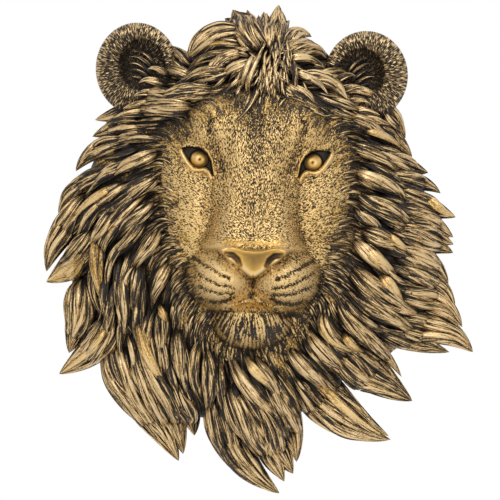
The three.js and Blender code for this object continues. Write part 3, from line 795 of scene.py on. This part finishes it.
def wisp(x, z, length, width, gilt, bend, rng, lift, cell):
    """A small lock that starts at a place and follows the hair."""
    way = heading(x, z)
    on = math.radians(way)
    later = heading(x + 0.5 * length * math.cos(on), z + 0.5 * length * math.sin(on))
    turn = (later - way + 180) % 360 - 180
    if abs(turn) > WHORL:
        return []
    later = way + turn * 1.6
    mean = math.radians(0.5 * (way + later))
    tip = lambda: (x + length * math.cos(mean), z + length * math.sin(mean))
    while share_out(*tip()) > 0.97 and length > 2:
        length *= 0.85
    row = (x, z, way + bend, *tip(), later - bend, width, gilt)
    return lock(row, lift, rng, cell, head_base)


def short_row(x, z, length, way, turn, width, gilt):
    """A short lock that leaves its root turned one way and comes to its tip turned the other."""
    tip = x + length * math.cos(way), z + length * math.sin(way)
    return (x, z, math.degrees(way) + turn, *tip, math.degrees(way) - turn, width, gilt)


def ring_places(rings, scatter, radii, rng):
    """Places on rings round the head, each with its ring's share of the outline."""
    for ring, count in rings:
        for k in range(count):
            angle = (k + rng.random()) / count * 2 * math.pi
            reach = (ring + scatter * (rng.random() - 0.5)) * edge_radius(angle, radii)
            yield ring, HEAD_CENTRE[0] + reach * math.cos(angle), HEAD_CENTRE[1] + reach * math.sin(angle)


def mane():
    for name, rows, lift, slim, young in (
        ("edge_locks", EDGE_LOCKS, EDGE_LIFT, 1.0, 2),
        ("upper_locks", UPPER_LOCKS, UPPER_LIFT, 0.66, 2),
        ("crest_locks", CREST_LOCKS, CREST_LIFT, 0.8, 4),
    ):
        rng = np.random.default_rng(len(name))
        made = []
        for row in rows:
            made += lock((*row[:6], row[6] * slim, row[7]), lift, rng, LOCK_CELL, young=young)
        bundle(name, made)

    rng = np.random.default_rng(31)
    tufts = []
    for row in CREST_TUFTS:
        tufts += lock(row, TUFT_LIFT, rng, LOCK_CELL, young=1)
    for _ in range(SWIRL["count"]):
        angle, reach = rng.random() * 2 * math.pi, 1 + 8 * rng.random()
        x, z = SWIRL["x"] + reach * math.cos(angle), SWIRL["z"] + 0.8 * reach * math.sin(angle)
        length, way = 3 + 2.6 * rng.random(), angle + 1.5 * (rng.random() - 0.5)
        if share_out(x + length * math.cos(way), z + length * math.sin(way)) > 1:
            continue
        turn, gilt = 50 * (rng.random() - 0.5), 0.05 + 0.6 * rng.random()
        row = short_row(x, z, length, way, turn, 0.15 + 0.08 * rng.random(), gilt)
        tufts += lock(row, SWIRL["lift"], rng, SHORT_CELL)
    for k in range(BAND["count"]):
        z = BAND["top"] - BAND["fall"] * (k + rng.random()) / BAND["count"]
        x = 3.6 + 0.13 * (z - 36) + 5 * (rng.random() - 0.5)
        length = 4.4 + 3 * rng.random()
        way = math.radians(264 + 34 * (rng.random() - 0.5) + 4 * (x - 3.6))
        turn, gilt = 24 * (rng.random() - 0.5), 0.05 + 0.6 * rng.random()
        row = short_row(x, z, length, way, turn, 0.08, gilt)
        tufts += lock(row, BAND["lift"], rng, SHORT_CELL, root_dark=0.2)
    for row in PARTING:
        tufts += lock(row, PARTING_LIFT, rng, LOCK_CELL)
    for ear, side in zip(EARS, (1, -1)):
        for rows, deep, young in ((EAR_TUFTS, EAR_TUFT_DEPTH, 0), (EAR_CURLS, EAR_CURL_DEPTH, 1)):
            for x0, z0, h0, x1, z1, h1, *look in rows:
                way = (h0, h1) if side > 0 else (180 - h0, 180 - h1)
                root = ear["x"] + side * x0, ear["z"] + z0
                tip = ear["x"] + side * x1, ear["z"] + z1
                row = (*root, way[0], *tip, way[1], *look)
                tufts += lock(row, EAR_TUFT_LIFT, rng, LOCK_CELL, lambda x, z: deep + 0 * x, young)
    bundle("crest_tufts", tufts)

    flames = []
    for row in FLAMES:
        flames += lock(row, FLAME_LIFT, rng, LOCK_CELL)
    bundle("flames", flames)

    rng = np.random.default_rng(77)
    fill = []
    for ring, x, z in ring_places(FILL_RINGS, 0.06, EDGE_RADII, rng):
        if face_share(x, z) < (0.97 if z < 20 else 1.04):
            continue
        length = (0.99 - ring) * 22 + 5 + 6 * rng.random()
        width = 0.1 + 0.09 * rng.random()
        gilt, bend = 0.02 + 0.7 * rng.random() ** 1.8, 44 * (rng.random() - 0.5)
        fill += wisp(x, z, length, width, gilt, bend, rng, 0.04 + 0.05 * rng.random(), FILL_CELL)
    bundle("fill_locks", fill)

    fringe = []
    for ring, x, z in ring_places(FRINGE_RINGS, 0.05, FACE_RADII, rng):
        length = 2.6 + 2.4 * rng.random() + 6 * (ring - 0.94)
        gilt, bend = 0.15 + 0.6 * rng.random(), 40 * (rng.random() - 0.5)
        fringe += wisp(x, z, length, 0.16, gilt, bend, rng, 0.012, SHORT_CELL)
    bundle("face_fringe", fringe)


def mane_surface():
    """The hair that lies between the locks, out to the rim of the head."""
    step = 0.22
    xs, zs = np.arange(-45, 45.1, step), np.arange(-42, 51.1, step)
    x, z = np.meshgrid(xs, zs)
    cx, cz = np.arange(-46, 47, 1.5), np.arange(-43, 53, 1.5)
    ways = flow(*np.meshgrid(cx, cz))
    fx, fz = spread(ways[0], xs, zs, cx, cz), spread(ways[1], xs, zs, cx, cz)
    size = np.hypot(fx, fz) + 1e-9
    rng = np.random.default_rng(9)
    fine = evened(smeared(rng.random(x.shape), fx / size, fz / size, 9))
    broad = evened(smeared(blurred(rng.random(x.shape), 2), fx / size, fz / size, 14))
    dx, dz = x - HEAD_CENTRE[0], z - HEAD_CENTRE[1]
    angle = np.arctan2(dz, dx)
    reach = edge_radius(angle)
    share = np.hypot(dx, dz) / reach
    outside = share > 1
    x = np.where(outside, HEAD_CENTRE[0] + reach * np.cos(angle), x)
    z = np.where(outside, HEAD_CENTRE[1] + reach * np.sin(angle), z)
    calm = smooth(1.0, 0.93, share)
    depth = head_base(x, z) + (0.02 * (broad - 0.6) + 0.009 * (fine - 0.5)) * calm
    gold = 0.22 + 0.8 * (fine - 0.5) + 0.4 * (broad - 0.5) + 0.6 * smooth(0.84, 0.97, share)
    masks = (~outside, face_share(x, z) > 0.88)
    gather_sheet("mane_ground", place(x, z, depth), masks, gold, np.arctan2(fz, fx), 0.7)


def smeared(field, fx, fz, length):
    """The field drawn out along the flow, so that specks become hairs. Flow is in cells."""
    rows, columns = field.shape
    r0, c0 = np.meshgrid(np.arange(rows, dtype=float), np.arange(columns, dtype=float), indexing="ij")
    total, weight, stride = field.copy(), np.ones_like(field), 0.8
    for sign in (1, -1):
        r, c = r0.copy(), c0.copy()
        for k in range(1, int(length / stride) + 2):
            i = np.clip(r.astype(int), 0, rows - 1)
            j = np.clip(c.astype(int), 0, columns - 1)
            r += sign * fz[i, j] * stride
            c += sign * fx[i, j] * stride
            w = np.clip(length / stride - k + 1, 0, 1)
            total += w * sampled(field, r, c)
            weight += w
    return total / weight


def evened(field):
    """The same pattern, with its values spread evenly from 0 to 1."""
    order = np.argsort(field, axis=None)
    ranks = np.empty(field.size)
    ranks[order] = np.linspace(0, 1, field.size)
    return ranks.reshape(field.shape)


def eye_space(x, z):
    """Along an eye towards its outer corner, and up from it."""
    ax, az = np.abs(x) - EYE["x"], z - EYE["z"]
    c, s = math.cos(EYE["slant"]), math.sin(EYE["slant"])
    return ax * c + az * s, -ax * s + az * c


def segment(x, z, points, wide):
    """Nearness, from 0 to 1, to a line through the points."""
    near = np.full(x.shape, 1e9)
    for (ax, az), (bx, bz) in zip(points, points[1:]):
        vx, vz = bx - ax, bz - az
        t = np.clip(((x - ax) * vx + (z - az) * vz) / (vx * vx + vz * vz), 0, 1)
        near = np.minimum(near, np.hypot(x - ax - t * vx, z - az - t * vz))
    return bell(near, wide)


WHISKER_ROWS = [
    [(4.6, -6.1), (6.8, -5.2), (9.2, -3.8), (12, -2.2)],
    [(4.1, -7.9), (6.9, -7.4), (8.8, -6.6), (12.2, -4.6)],
    [(4, -9.2), (6.9, -9.1), (8.7, -8.7), (11.8, -7.3)],
    [(3.9, -9.9), (5.4, -10.7), (8, -11), (10.8, -10.2)],
]
# Ridges and grooves of the right half of the face, mirrored on the left: how wide, how far they stand out,
# how much more gold they have, and the places that they run through.
FACE_LINES = {
    "nose_rim": (0.45, 0.016, 0, [(7, -0.6), (5.4, 0.3), (3.6, 0), (1.8, -0.7), (0, -0.9)]),
    "nostril": (0.6, -0.03, -0.2, [(5.5, -1.2), (4.2, -1.3), (3.2, -2.1), (2.7, -3.3)]),
    "nose_wing": (0.5, 0.014, 0, [(5.6, -2.2), (4.4, -2.7), (3.5, -3.7)]),
    "nose_cleft": (0.5, -0.006, 0, [(0, -2.5), (0, -5.5)]),
    "pad_cleft": (0.3, -0.02, 0, [(0, -5.6), (0, -7.6)]),
    "cleft_shade": (0.32, 0, -0.4, [(0, -5.6), (0, -7.2)]),
    "pad_edge": (
        0.5, 0.01, 0,
        [(0.3, -8.2), (1.6, -9.5), (3.6, -10.8), (6.4, -12), (9.4, -12.3), (11.2, -11.2)],
    ),
    "mouth": (0.4, -0.03, -0.25, [(4.4, -12.4), (6.8, -13.3), (9.6, -13.4), (11.8, -12)]),
    "lip": (0.45, 0.006, 0, [(0, -11.3), (2, -11.5), (4, -11.9)]),
    "brow_crease": (0.5, -0.012, -0.45, [(9.3, 26.2), (9.9, 24.8), (9.6, 23.4)]),
    # A groove from the brow to the eye's inner corner, with painted shade along it: less gold.
    "brow_hollow_shade": (1.0, -0.016, -0.24, [(9.4, 23.6), (8.3, 20), (6.9, 16.4)]),
    "brow_light": (0.9, 0, 0.24, [(8, 24.6), (6.6, 20.6), (5, 17)]),
    "cheek_fold": (0.5, -0.003, 0.04, [(8.4, 14.6), (9.3, 10.5), (9.2, 6), (8.2, 2), (8, -0.5)]),
    "cheek_ridge": (0.35, 0.008, 0, [(7.4, 15), (8.3, 11.5), (8.2, 8)]),
}
# Fuller places of the muzzle's middle: x, z, how wide, how high, and how far out.
MUZZLE_SWELLINGS = [(0, -7, 0.7, 2.2, 0.05), (0, -10, 0.8, 1.6, 0.004), (0, -11.2, 6, 1.2, 0.048)]
# Half the width of the nose pad, going up.
NOSE_HALVES = [
    (-6, 0.2), (-5.4, 1.3), (-4.6, 2.4), (-3.4, 3.7), (-2.2, 5.6), (-1, 6.9), (0, 7.3), (1, 7.3),
]
# How dark the fur is, and where the gold is thicker or thinner on both sides of the face alike, and on one.
FUR_SHADES = [(11.5, 7, 5, 6, -0.12), (0, 9, 7, 9, 0.08), (0, 3, 7, 3, -0.12), (0, 24, 1.6, 6, 0.12)]
BOTH_SIDES_GOLD = [
    (8.2, -0.2, 3.6, 1.6, 0.24),
    (10.4, -11.4, 4, 2, 0.22),
    (12, -6, 2.2, 5, 0.26),
    (12.5, 23, 3.6, 2.4, 0.26),
    (0, 14.8, 4.5, 1.2, 0.12),
    (6.8, 6, 1.4, 6, 0.1),
    (12.4, 4, 4.4, 7, -0.03),
    (16, 13, 2, 6, 0.1),
    (10.6, 22.6, 4, 3, 0.12),
]
ONE_SIDE_GOLD = [
    (-7, -6.6, 6, 5, 0.56),
    (6.4, -6.4, 5, 4.4, 0.12),
    (-14.6, -1.6, 2.4, 2.4, 0.3),
    (13.6, -2, 2.4, 2.4, 0.2),
    (0.1, 25.4, 1.9, 7, -0.44),
    (0.8, 17.4, 2.4, 2.4, -0.16),
    (-12.4, 4, 4.4, 7, 0.17),
    (-2.5, 2.5, 4.5, 0.9, -0.16),
    (-0.6, 9, 1.6, 1.5, -0.1),
]
# Heights on the face: where the nose pad ends and the bridge begins, and where the chin's hair begins.
BRIDGE_FOOT = 1.1
CHIN_TOP = -12


def eyelids(x, z):
    """The eye's opening, its upper and lower lid and the line above it, where a shadow is painted, each from
    0 to 1.
    """
    along, over = eye_space(x, z)
    upper, lower = (np.interp(along, *np.array(line).T) for line in (UPPER_LID, LOWER_LID))
    start, end = UPPER_LID[0][0], UPPER_LID[-1][0]
    inside = np.where((along > start) & (along < end), np.minimum(upper - over, over - lower), -2)
    near = smooth(start - 0.7, start, along) * smooth(end + 0.5, 4, along)
    upper_lid = bell(over - upper - 0.32, 0.3) * near * smooth(1.8, -1.2, along)
    lower_lid = bell(over - lower + 0.55, 0.55) * near
    lid_shadow_line = bell(over - upper, 0.2) * near
    return smooth(-0.1, 0.2, inside), upper_lid, lower_lid, lid_shadow_line


def face_fur(x, z, rim):
    """The way the fur grows, its height from 0 to 1, and how shaggy and how much of the chin it is."""
    upward = smooth(10, 22, z)
    fx = np.where(z < CHIN_TOP, x * 0.35, x * (1 - 0.55 * upward))
    fz = np.where(z < CHIN_TOP, -8, (z - 2) * 0.9 * (1 - upward) + 10 * upward)
    size = np.hypot(fx, fz) + 1e-6
    fx, fz = fx / size, fz / size
    specks = np.random.default_rng(5).random(x.shape)
    short, long = (evened(smeared(specks, fx, fz, length)) for length in (1.2, 4.5))
    chin = smooth(CHIN_TOP - 0.3, CHIN_TOP - 1.5, z) * (np.abs(x) < 9)
    shaggy = np.clip(smooth(0.72, 1.0, rim) + chin, 0, 1)
    round_mouth, down = np.arctan2(x, -(z + 3)), np.hypot(x, z + 3)
    phase = round_mouth * 21 + 1.5 * noise(TABLES[6], round_mouth * 8 + 30, down * 0.4)
    tufted = 0.5 * np.abs(np.sin(math.pi * phase)) + 0.8 * noise(TABLES[8], phase * 1.1 + 40, down * 0.5)
    tufted = evened(tufted + 0.4 * noise(TABLES[9], round_mouth * 62 + 80, down * 1.4))
    fur = short * (1 - shaggy) + long * shaggy * (1 - chin) + tufted * chin
    return np.arctan2(fz, fx), fur, shaggy, chin


def face():
    step = 0.14
    x, z = np.meshgrid(np.arange(-20, 20 + step / 2, step), np.arange(-23, 33, step))
    ax = np.abs(x)
    opening, upper_lid, lower_lid, lid_shadow_line = eyelids(x, z)
    depth = face_depth(x, z) + 0.02 * upper_lid + 0.024 * lower_lid - 0.04 * opening

    # Nose pad over the bridge.
    level = bridge(x, np.maximum(z, 0)) * smooth(-1.6, -0.8, z)
    depth = np.where(ax < 6, np.maximum(depth, level), depth)
    upper = 0.2 + 0.3 * bell(ax - 4.6, 1.4)
    half = np.interp(z, *np.array(NOSE_HALVES).T)
    inside = np.where(z > -5.8, np.minimum(upper - z, (half - ax) * 0.75), -2)
    pad = smooth(-0.1, 0.7, inside)
    pad_depth = 0.965 + 0.035 * np.sqrt(np.clip(1 - (ax / 7.4) ** 2, 0, 1))
    pad_depth = pad_depth - 0.013 * np.maximum(0, -z - 1.5) ** 1.2
    depth = np.where(inside > -0.1, depth * (1 - pad) + np.maximum(pad_depth, depth) * pad, depth)
    depth = depth - 0.006 * bell(inside + 0.15, 0.25) * smooth(0.2, -0.8, z)

    # Ridges and grooves, and the rows that the whiskers grow from.
    lines = {name: segment(ax, z, points, wide) for name, (wide, _, _, points) in FACE_LINES.items()}
    lines["nostril"] = smooth(0.2, 0.9, lines["nostril"])
    depth = depth + hills(x, z, MUZZLE_SWELLINGS)
    depth = depth + sum(out * lines[name] for name, (_, out, _, _) in FACE_LINES.items())
    broken = 0.78 + 0.22 * np.sin(ax * 7.5 + 3 * z + 2 * x)
    waved = z + 0.07 * np.sin(ax * 3.1 + x)
    pits = np.max([segment(ax, waved, row, 0.4) * broken for row in WHISKER_ROWS], axis=0)
    depth = depth - 0.014 * pits

    # Fur, but for the bare lids, lips and nose.
    rim = face_share(*turned(x, z, FACE_TILT))
    way, fur, shaggy, chin = face_fur(x, z, rim)
    padded = smooth(1.0, 0.55, np.hypot((ax - 6.2) / 7.4, (z + 6.6) / 5.6))
    bare = pad + opening + lines["lip"] + 0.8 * lines["pad_edge"] + 1.3 * upper_lid + 1.3 * lower_lid
    bare = np.maximum(np.clip(bare, 0, 1), hill(x, z, 0, -10.4, 2.6, 1.1, 0.9))
    bare = np.maximum(bare, bell(z - BRIDGE_FOOT, 0.7) * (ax < 6.5))
    depth = depth + (0.0011 + 0.0045 * shaggy + 0.009 * chin) * (fur - 0.5) * (1 - bare)

    # Gold: high where bare and on raised hairs, low in the specks between.
    dark = 0.44 + 0.16 * smooth(19, 27, z) + 0.2 * smooth(0.75, 1.0, rim)
    dark = dark + hills(ax, z, FUR_SHADES) + hill(x, z, 0.6, 11.5, 2, 1.8, 0.14)
    dark = np.where(z < CHIN_TOP - 0.5, 0.91 + 0.05 * (z + 17), dark)
    gold = 0.58 + (0.42 + 0.45 * shaggy + 2.3 * chin) * (fur - 0.5) + 0.9 * (0.5 - dark)
    gold = gold * (1 - bare) + 0.8 * bare + 0.4 * padded - 0.4 * pad
    # Painted shadow: the line along the upper lid loses gold.
    gold = gold - 1.9 * pits - 0.5 * opening - 0.5 * lid_shadow_line
    gold = gold - 0.04 * bell(inside + 0.15, 0.2) * smooth(0, -1, z)
    gold = gold + hills(ax, z, BOTH_SIDES_GOLD) + hills(x, z, ONE_SIDE_GOLD)
    gold = gold + sum(more * lines[name] for name, (_, _, more, _) in FACE_LINES.items())
    gold = gold + hill(ax, z, 5.5, -4.2, 5, 3.4, 0.22) * (1 - lines["nostril"])
    gold = gold + hill(ax, z, 7.5, -7.5, 6, 5, 0.06) * (z < -1)
    gold = gold - 0.1 * bell(z - BRIDGE_FOOT, 0.8) * (ax < 6.5)
    gold = gold - 0.55 * segment(x, z, [(-0.4, -9.4), (-0.4, -9.8)], 0.5)

    depth = joined(depth, mane_depth(*turned(x, z, FACE_TILT)))
    hairy = (0.25 + 1.3 * (1 - bare) + 0.3 * padded) * (1 - pad) * (1 - opening)
    hairy = hairy * (1 - hill(ax, z, 12, 4, 4, 7, 0.35))
    gather_sheet("face", tilted(place(x, z, depth)), (rim < 1.04,), gold, way - FACE_TILT, hairy)


def eyes():
    rows, columns = 40, 64
    radius = EYEBALL["radius"] * PER_CENT
    lo, la = np.meshgrid(np.arange(columns) / columns * 2 * math.pi, np.linspace(0, math.pi, rows))
    # The pole looks out of the face.
    local = np.stack([np.sin(la) * np.cos(lo), -np.cos(la), np.sin(la) * np.sin(lo)], -1)
    bulge = 1 + 0.03 * bell(la, 0.45)
    depth = float(face_depth(np.array([EYEBALL["x"]]), np.array([EYEBALL["z"]]))[0])
    # Painted shadow of the upper lid over the top of the eyeball.
    eyeball_top_shadow = smooth(0.15, 0.75, np.sin(la) * np.sin(lo))
    gold = 0.85 - 0.8 * bell(la, 0.13) - 0.1 * bell(la - 0.55, 0.1)
    gold = gold - 0.7 * smooth(0.85, 1.1, la) - 0.4 * eyeball_top_shadow
    for sign, name in ((-1, "left_eye"), (1, "right_eye")):
        seat = place(sign * EYEBALL["x"], EYEBALL["z"], depth)
        seat[1] += 0.7 * radius
        points = tilted((seat + local * radius * bulge[..., None]).reshape(-1, 3))
        gather(name, points, grid_faces(rows, columns, closed=True), gold.ravel())


def ears():
    for ear in EARS:
        turns, rings = 300, 48
        turn = np.arange(turns) / turns * 2 * math.pi
        share = np.concatenate([[0.0], np.linspace(0.03, 1, rings - 1), np.linspace(0.98, 0.0, 14)])
        a, r = np.meshgrid(turn, share)
        is_back = np.repeat((np.arange(len(share)) >= rings)[:, None], turns, axis=1)
        x = ear["x"] + ear["across"] * r * np.cos(a)
        z = ear["z"] + ear["up"] * r * np.sin(a)
        shell = EAR_THICKNESS * np.sqrt(np.clip(1 - r * r, 0, 1))
        hx = (x - ear["x"] - ear["hollow"][0]) / (ear["across"] * (1 - EAR_RIM))
        hz = (z - ear["z"] - ear["hollow"][1]) / (ear["up"] * (1 - EAR_RIM))
        ho = np.hypot(hx, hz)
        cup = EAR_DEPTH + 0.7 * EAR_THICKNESS - EAR_THICKNESS * np.sqrt(np.clip(1 - ho * ho, 0, 1))
        front = EAR_DEPTH + shell - 0.03 * smooth(1.35, 0.95, ho)
        front = np.where(ho < 1, np.minimum(front, cup), front)
        fur = evened(noise(TABLES[5], a * 64 / math.pi * 2, r * 19))
        depth = np.where(is_back, EAR_DEPTH - shell, front + 0.013 * (fur - 0.5) * smooth(0.05, 0.3, r))
        gold = 0.5 * (fur - 0.5) - 0.16 * smooth(1.25, 0.8, ho)
        gold = gold + 0.18 * smooth(0.75, 0.95, r) * (np.sin(a) > -0.5)
        gold = np.where(is_back, 0.05, gold)
        points = place(x, z, depth).reshape(-1, 3)
        reach = 0.5 * (ear["across"] + ear["up"]) * PER_CENT
        strand = np.stack([a * reach, r * reach * 4, np.where(is_back, 0, 1.6)], -1).reshape(-1, 3)
        gather(ear["name"], points, grid_faces(len(share), turns, closed=True), gold.ravel(), strand=strand)


def back():
    """The flat back with the keyhole for the screw, as a plate with a pocket."""
    entry, shank, low, seat = 5.5 * MM, 3.25 * MM, 0.074, 0.088
    lip_depth, pocket_depth = -3 * MM, -10 * MM
    meet = math.acos(shank / entry)
    arc = lambda cx, cz, r, a, b, n: [
        (cx + r * math.cos(a + (b - a) * i / n), cz + r * math.sin(a + (b - a) * i / n)) for i in range(n + 1)
    ]
    key = arc(0, low, entry, math.pi - meet, 2 * math.pi + meet, 20) + arc(0, seat, shank, 0, math.pi, 10)
    pocket = arc(0, seat, entry, 0, math.pi, 12) + arc(0, low, entry, math.pi, 2 * math.pi, 12)
    angle = np.arange(240) / 240 * 2 * math.pi
    reach = edge_radius(angle)
    rim = [
        ((HEAD_CENTRE[0] + r * math.cos(a)) * PER_CENT, (HEAD_CENTRE[1] + r * math.sin(a)) * PER_CENT)
        for a, r in zip(angle, reach)
    ]
    points, faces = [], []

    def flat(outlines, y):
        start = len(points)
        points.extend((x, y, z) for outline in outlines for x, z in outline)
        tris = tessellate_polygon([[Vector((x, z, 0)) for x, z in outline] for outline in outlines])
        faces.extend(tuple(start + i for i in tri) for tri in tris)

    def wall(outline, y0, y1):
        start, n = len(points), len(outline)
        points.extend((x, y0, z) for x, z in outline)
        points.extend((x, y1, z) for x, z in outline)
        for i in range(n):
            j = (i + 1) % n
            faces.append((start + i, start + j, start + n + j))
            faces.append((start + i, start + n + j, start + n + i))

    flat([rim, key], 0)
    wall(rim, 0, -RIM_THICKNESS)
    wall(key, 0, lip_depth)
    lip = (
        arc(0, seat, entry, 0, math.pi, 12)
        + arc(0, low, entry, math.pi, math.pi - meet, 4)
        + arc(0, seat, shank, math.pi, 0, 10)
        + arc(0, low, entry, meet, 0, 4)
    )
    flat([lip], lip_depth)
    wall(pocket, lip_depth, pocket_depth)
    flat([pocket], pocket_depth)
    gather("back", points, faces, np.zeros(len(points)), smooth_shade=False)


def stage():
    mesh = bpy.data.meshes.new("floor")
    mesh.from_pydata([(-4, -4, -0.5), (4, -4, -0.5), (4, 4, -0.5), (-4, 4, -0.5)], [], [(0, 1, 2, 3)])
    floor = bpy.data.objects.new("floor", mesh)
    bpy.context.scene.collection.objects.link(floor)
    pale = bpy.data.materials.new("pale_floor")
    pale.use_nodes = True
    pale.node_tree.nodes["Principled BSDF"].inputs["Base Color"].default_value = (0.85, 0.85, 0.85, 1)
    mesh.materials.append(pale)

    world = bpy.data.worlds.new("studio")
    bpy.context.scene.world = world
    world.use_nodes = True
    tree = world.node_tree
    tree.nodes.clear()
    # The world lights the head a little warm, and is white where it is seen.
    light = add_node(tree, "Background", {"Color": (1, 0.975, 0.94, 1), "Strength": 0.85}).outputs[0]
    seen = add_node(tree, "Background", {"Color": (1, 1, 1, 1), "Strength": 1.0}).outputs[0]
    direct = add_node(tree, "LightPath").outputs["Is Camera Ray"]
    mix = add_node(tree, "MixShader", {"Fac": direct, 1: light, 2: seen})
    add_node(tree, "OutputWorld", {"Surface": mix.outputs[0]})

    for name, where, size, power in (
        ("key", (-0.6, -2.4, 1.0), 1.7, 26),
        ("fill", (1.3, -2.2, -0.3), 1.7, 15),
        ("top", (0.3, -0.6, 1.9), 1.0, 13),
    ):
        data = bpy.data.lights.new(name, "AREA")
        data.size = size
        data.energy = power
        lamp = bpy.data.objects.new(name, data)
        lamp.location = where
        lamp.rotation_euler = (Vector((0, -0.05, 0.02)) - Vector(where)).to_track_quat("-Z", "Y").to_euler()
        bpy.context.scene.collection.objects.link(lamp)

    bpy.context.scene.view_settings.view_transform = "Standard"

    cam = bpy.data.cameras.new("camera")
    eye = bpy.data.objects.new("camera", cam)
    # The head is 490 pixels high in a picture of 500, and its centre is up and right of the picture's.
    away, pixel = 6.0, 0.4 / 490
    cam.sensor_width = 36
    cam.lens = cam.sensor_width * (away - 0.03) / (500 * pixel)
    eye.location = (-6 * pixel, -away, -pixel)
    eye.rotation_euler = (math.pi / 2, 0, 0)
    cam.clip_start, cam.clip_end = 0.1, 50
    bpy.context.scene.collection.objects.link(eye)
    bpy.context.scene.camera = eye


stage()
mane_surface()
face()
eyes()
ears()
mane()
back()
dry_brushed_and_shaded()
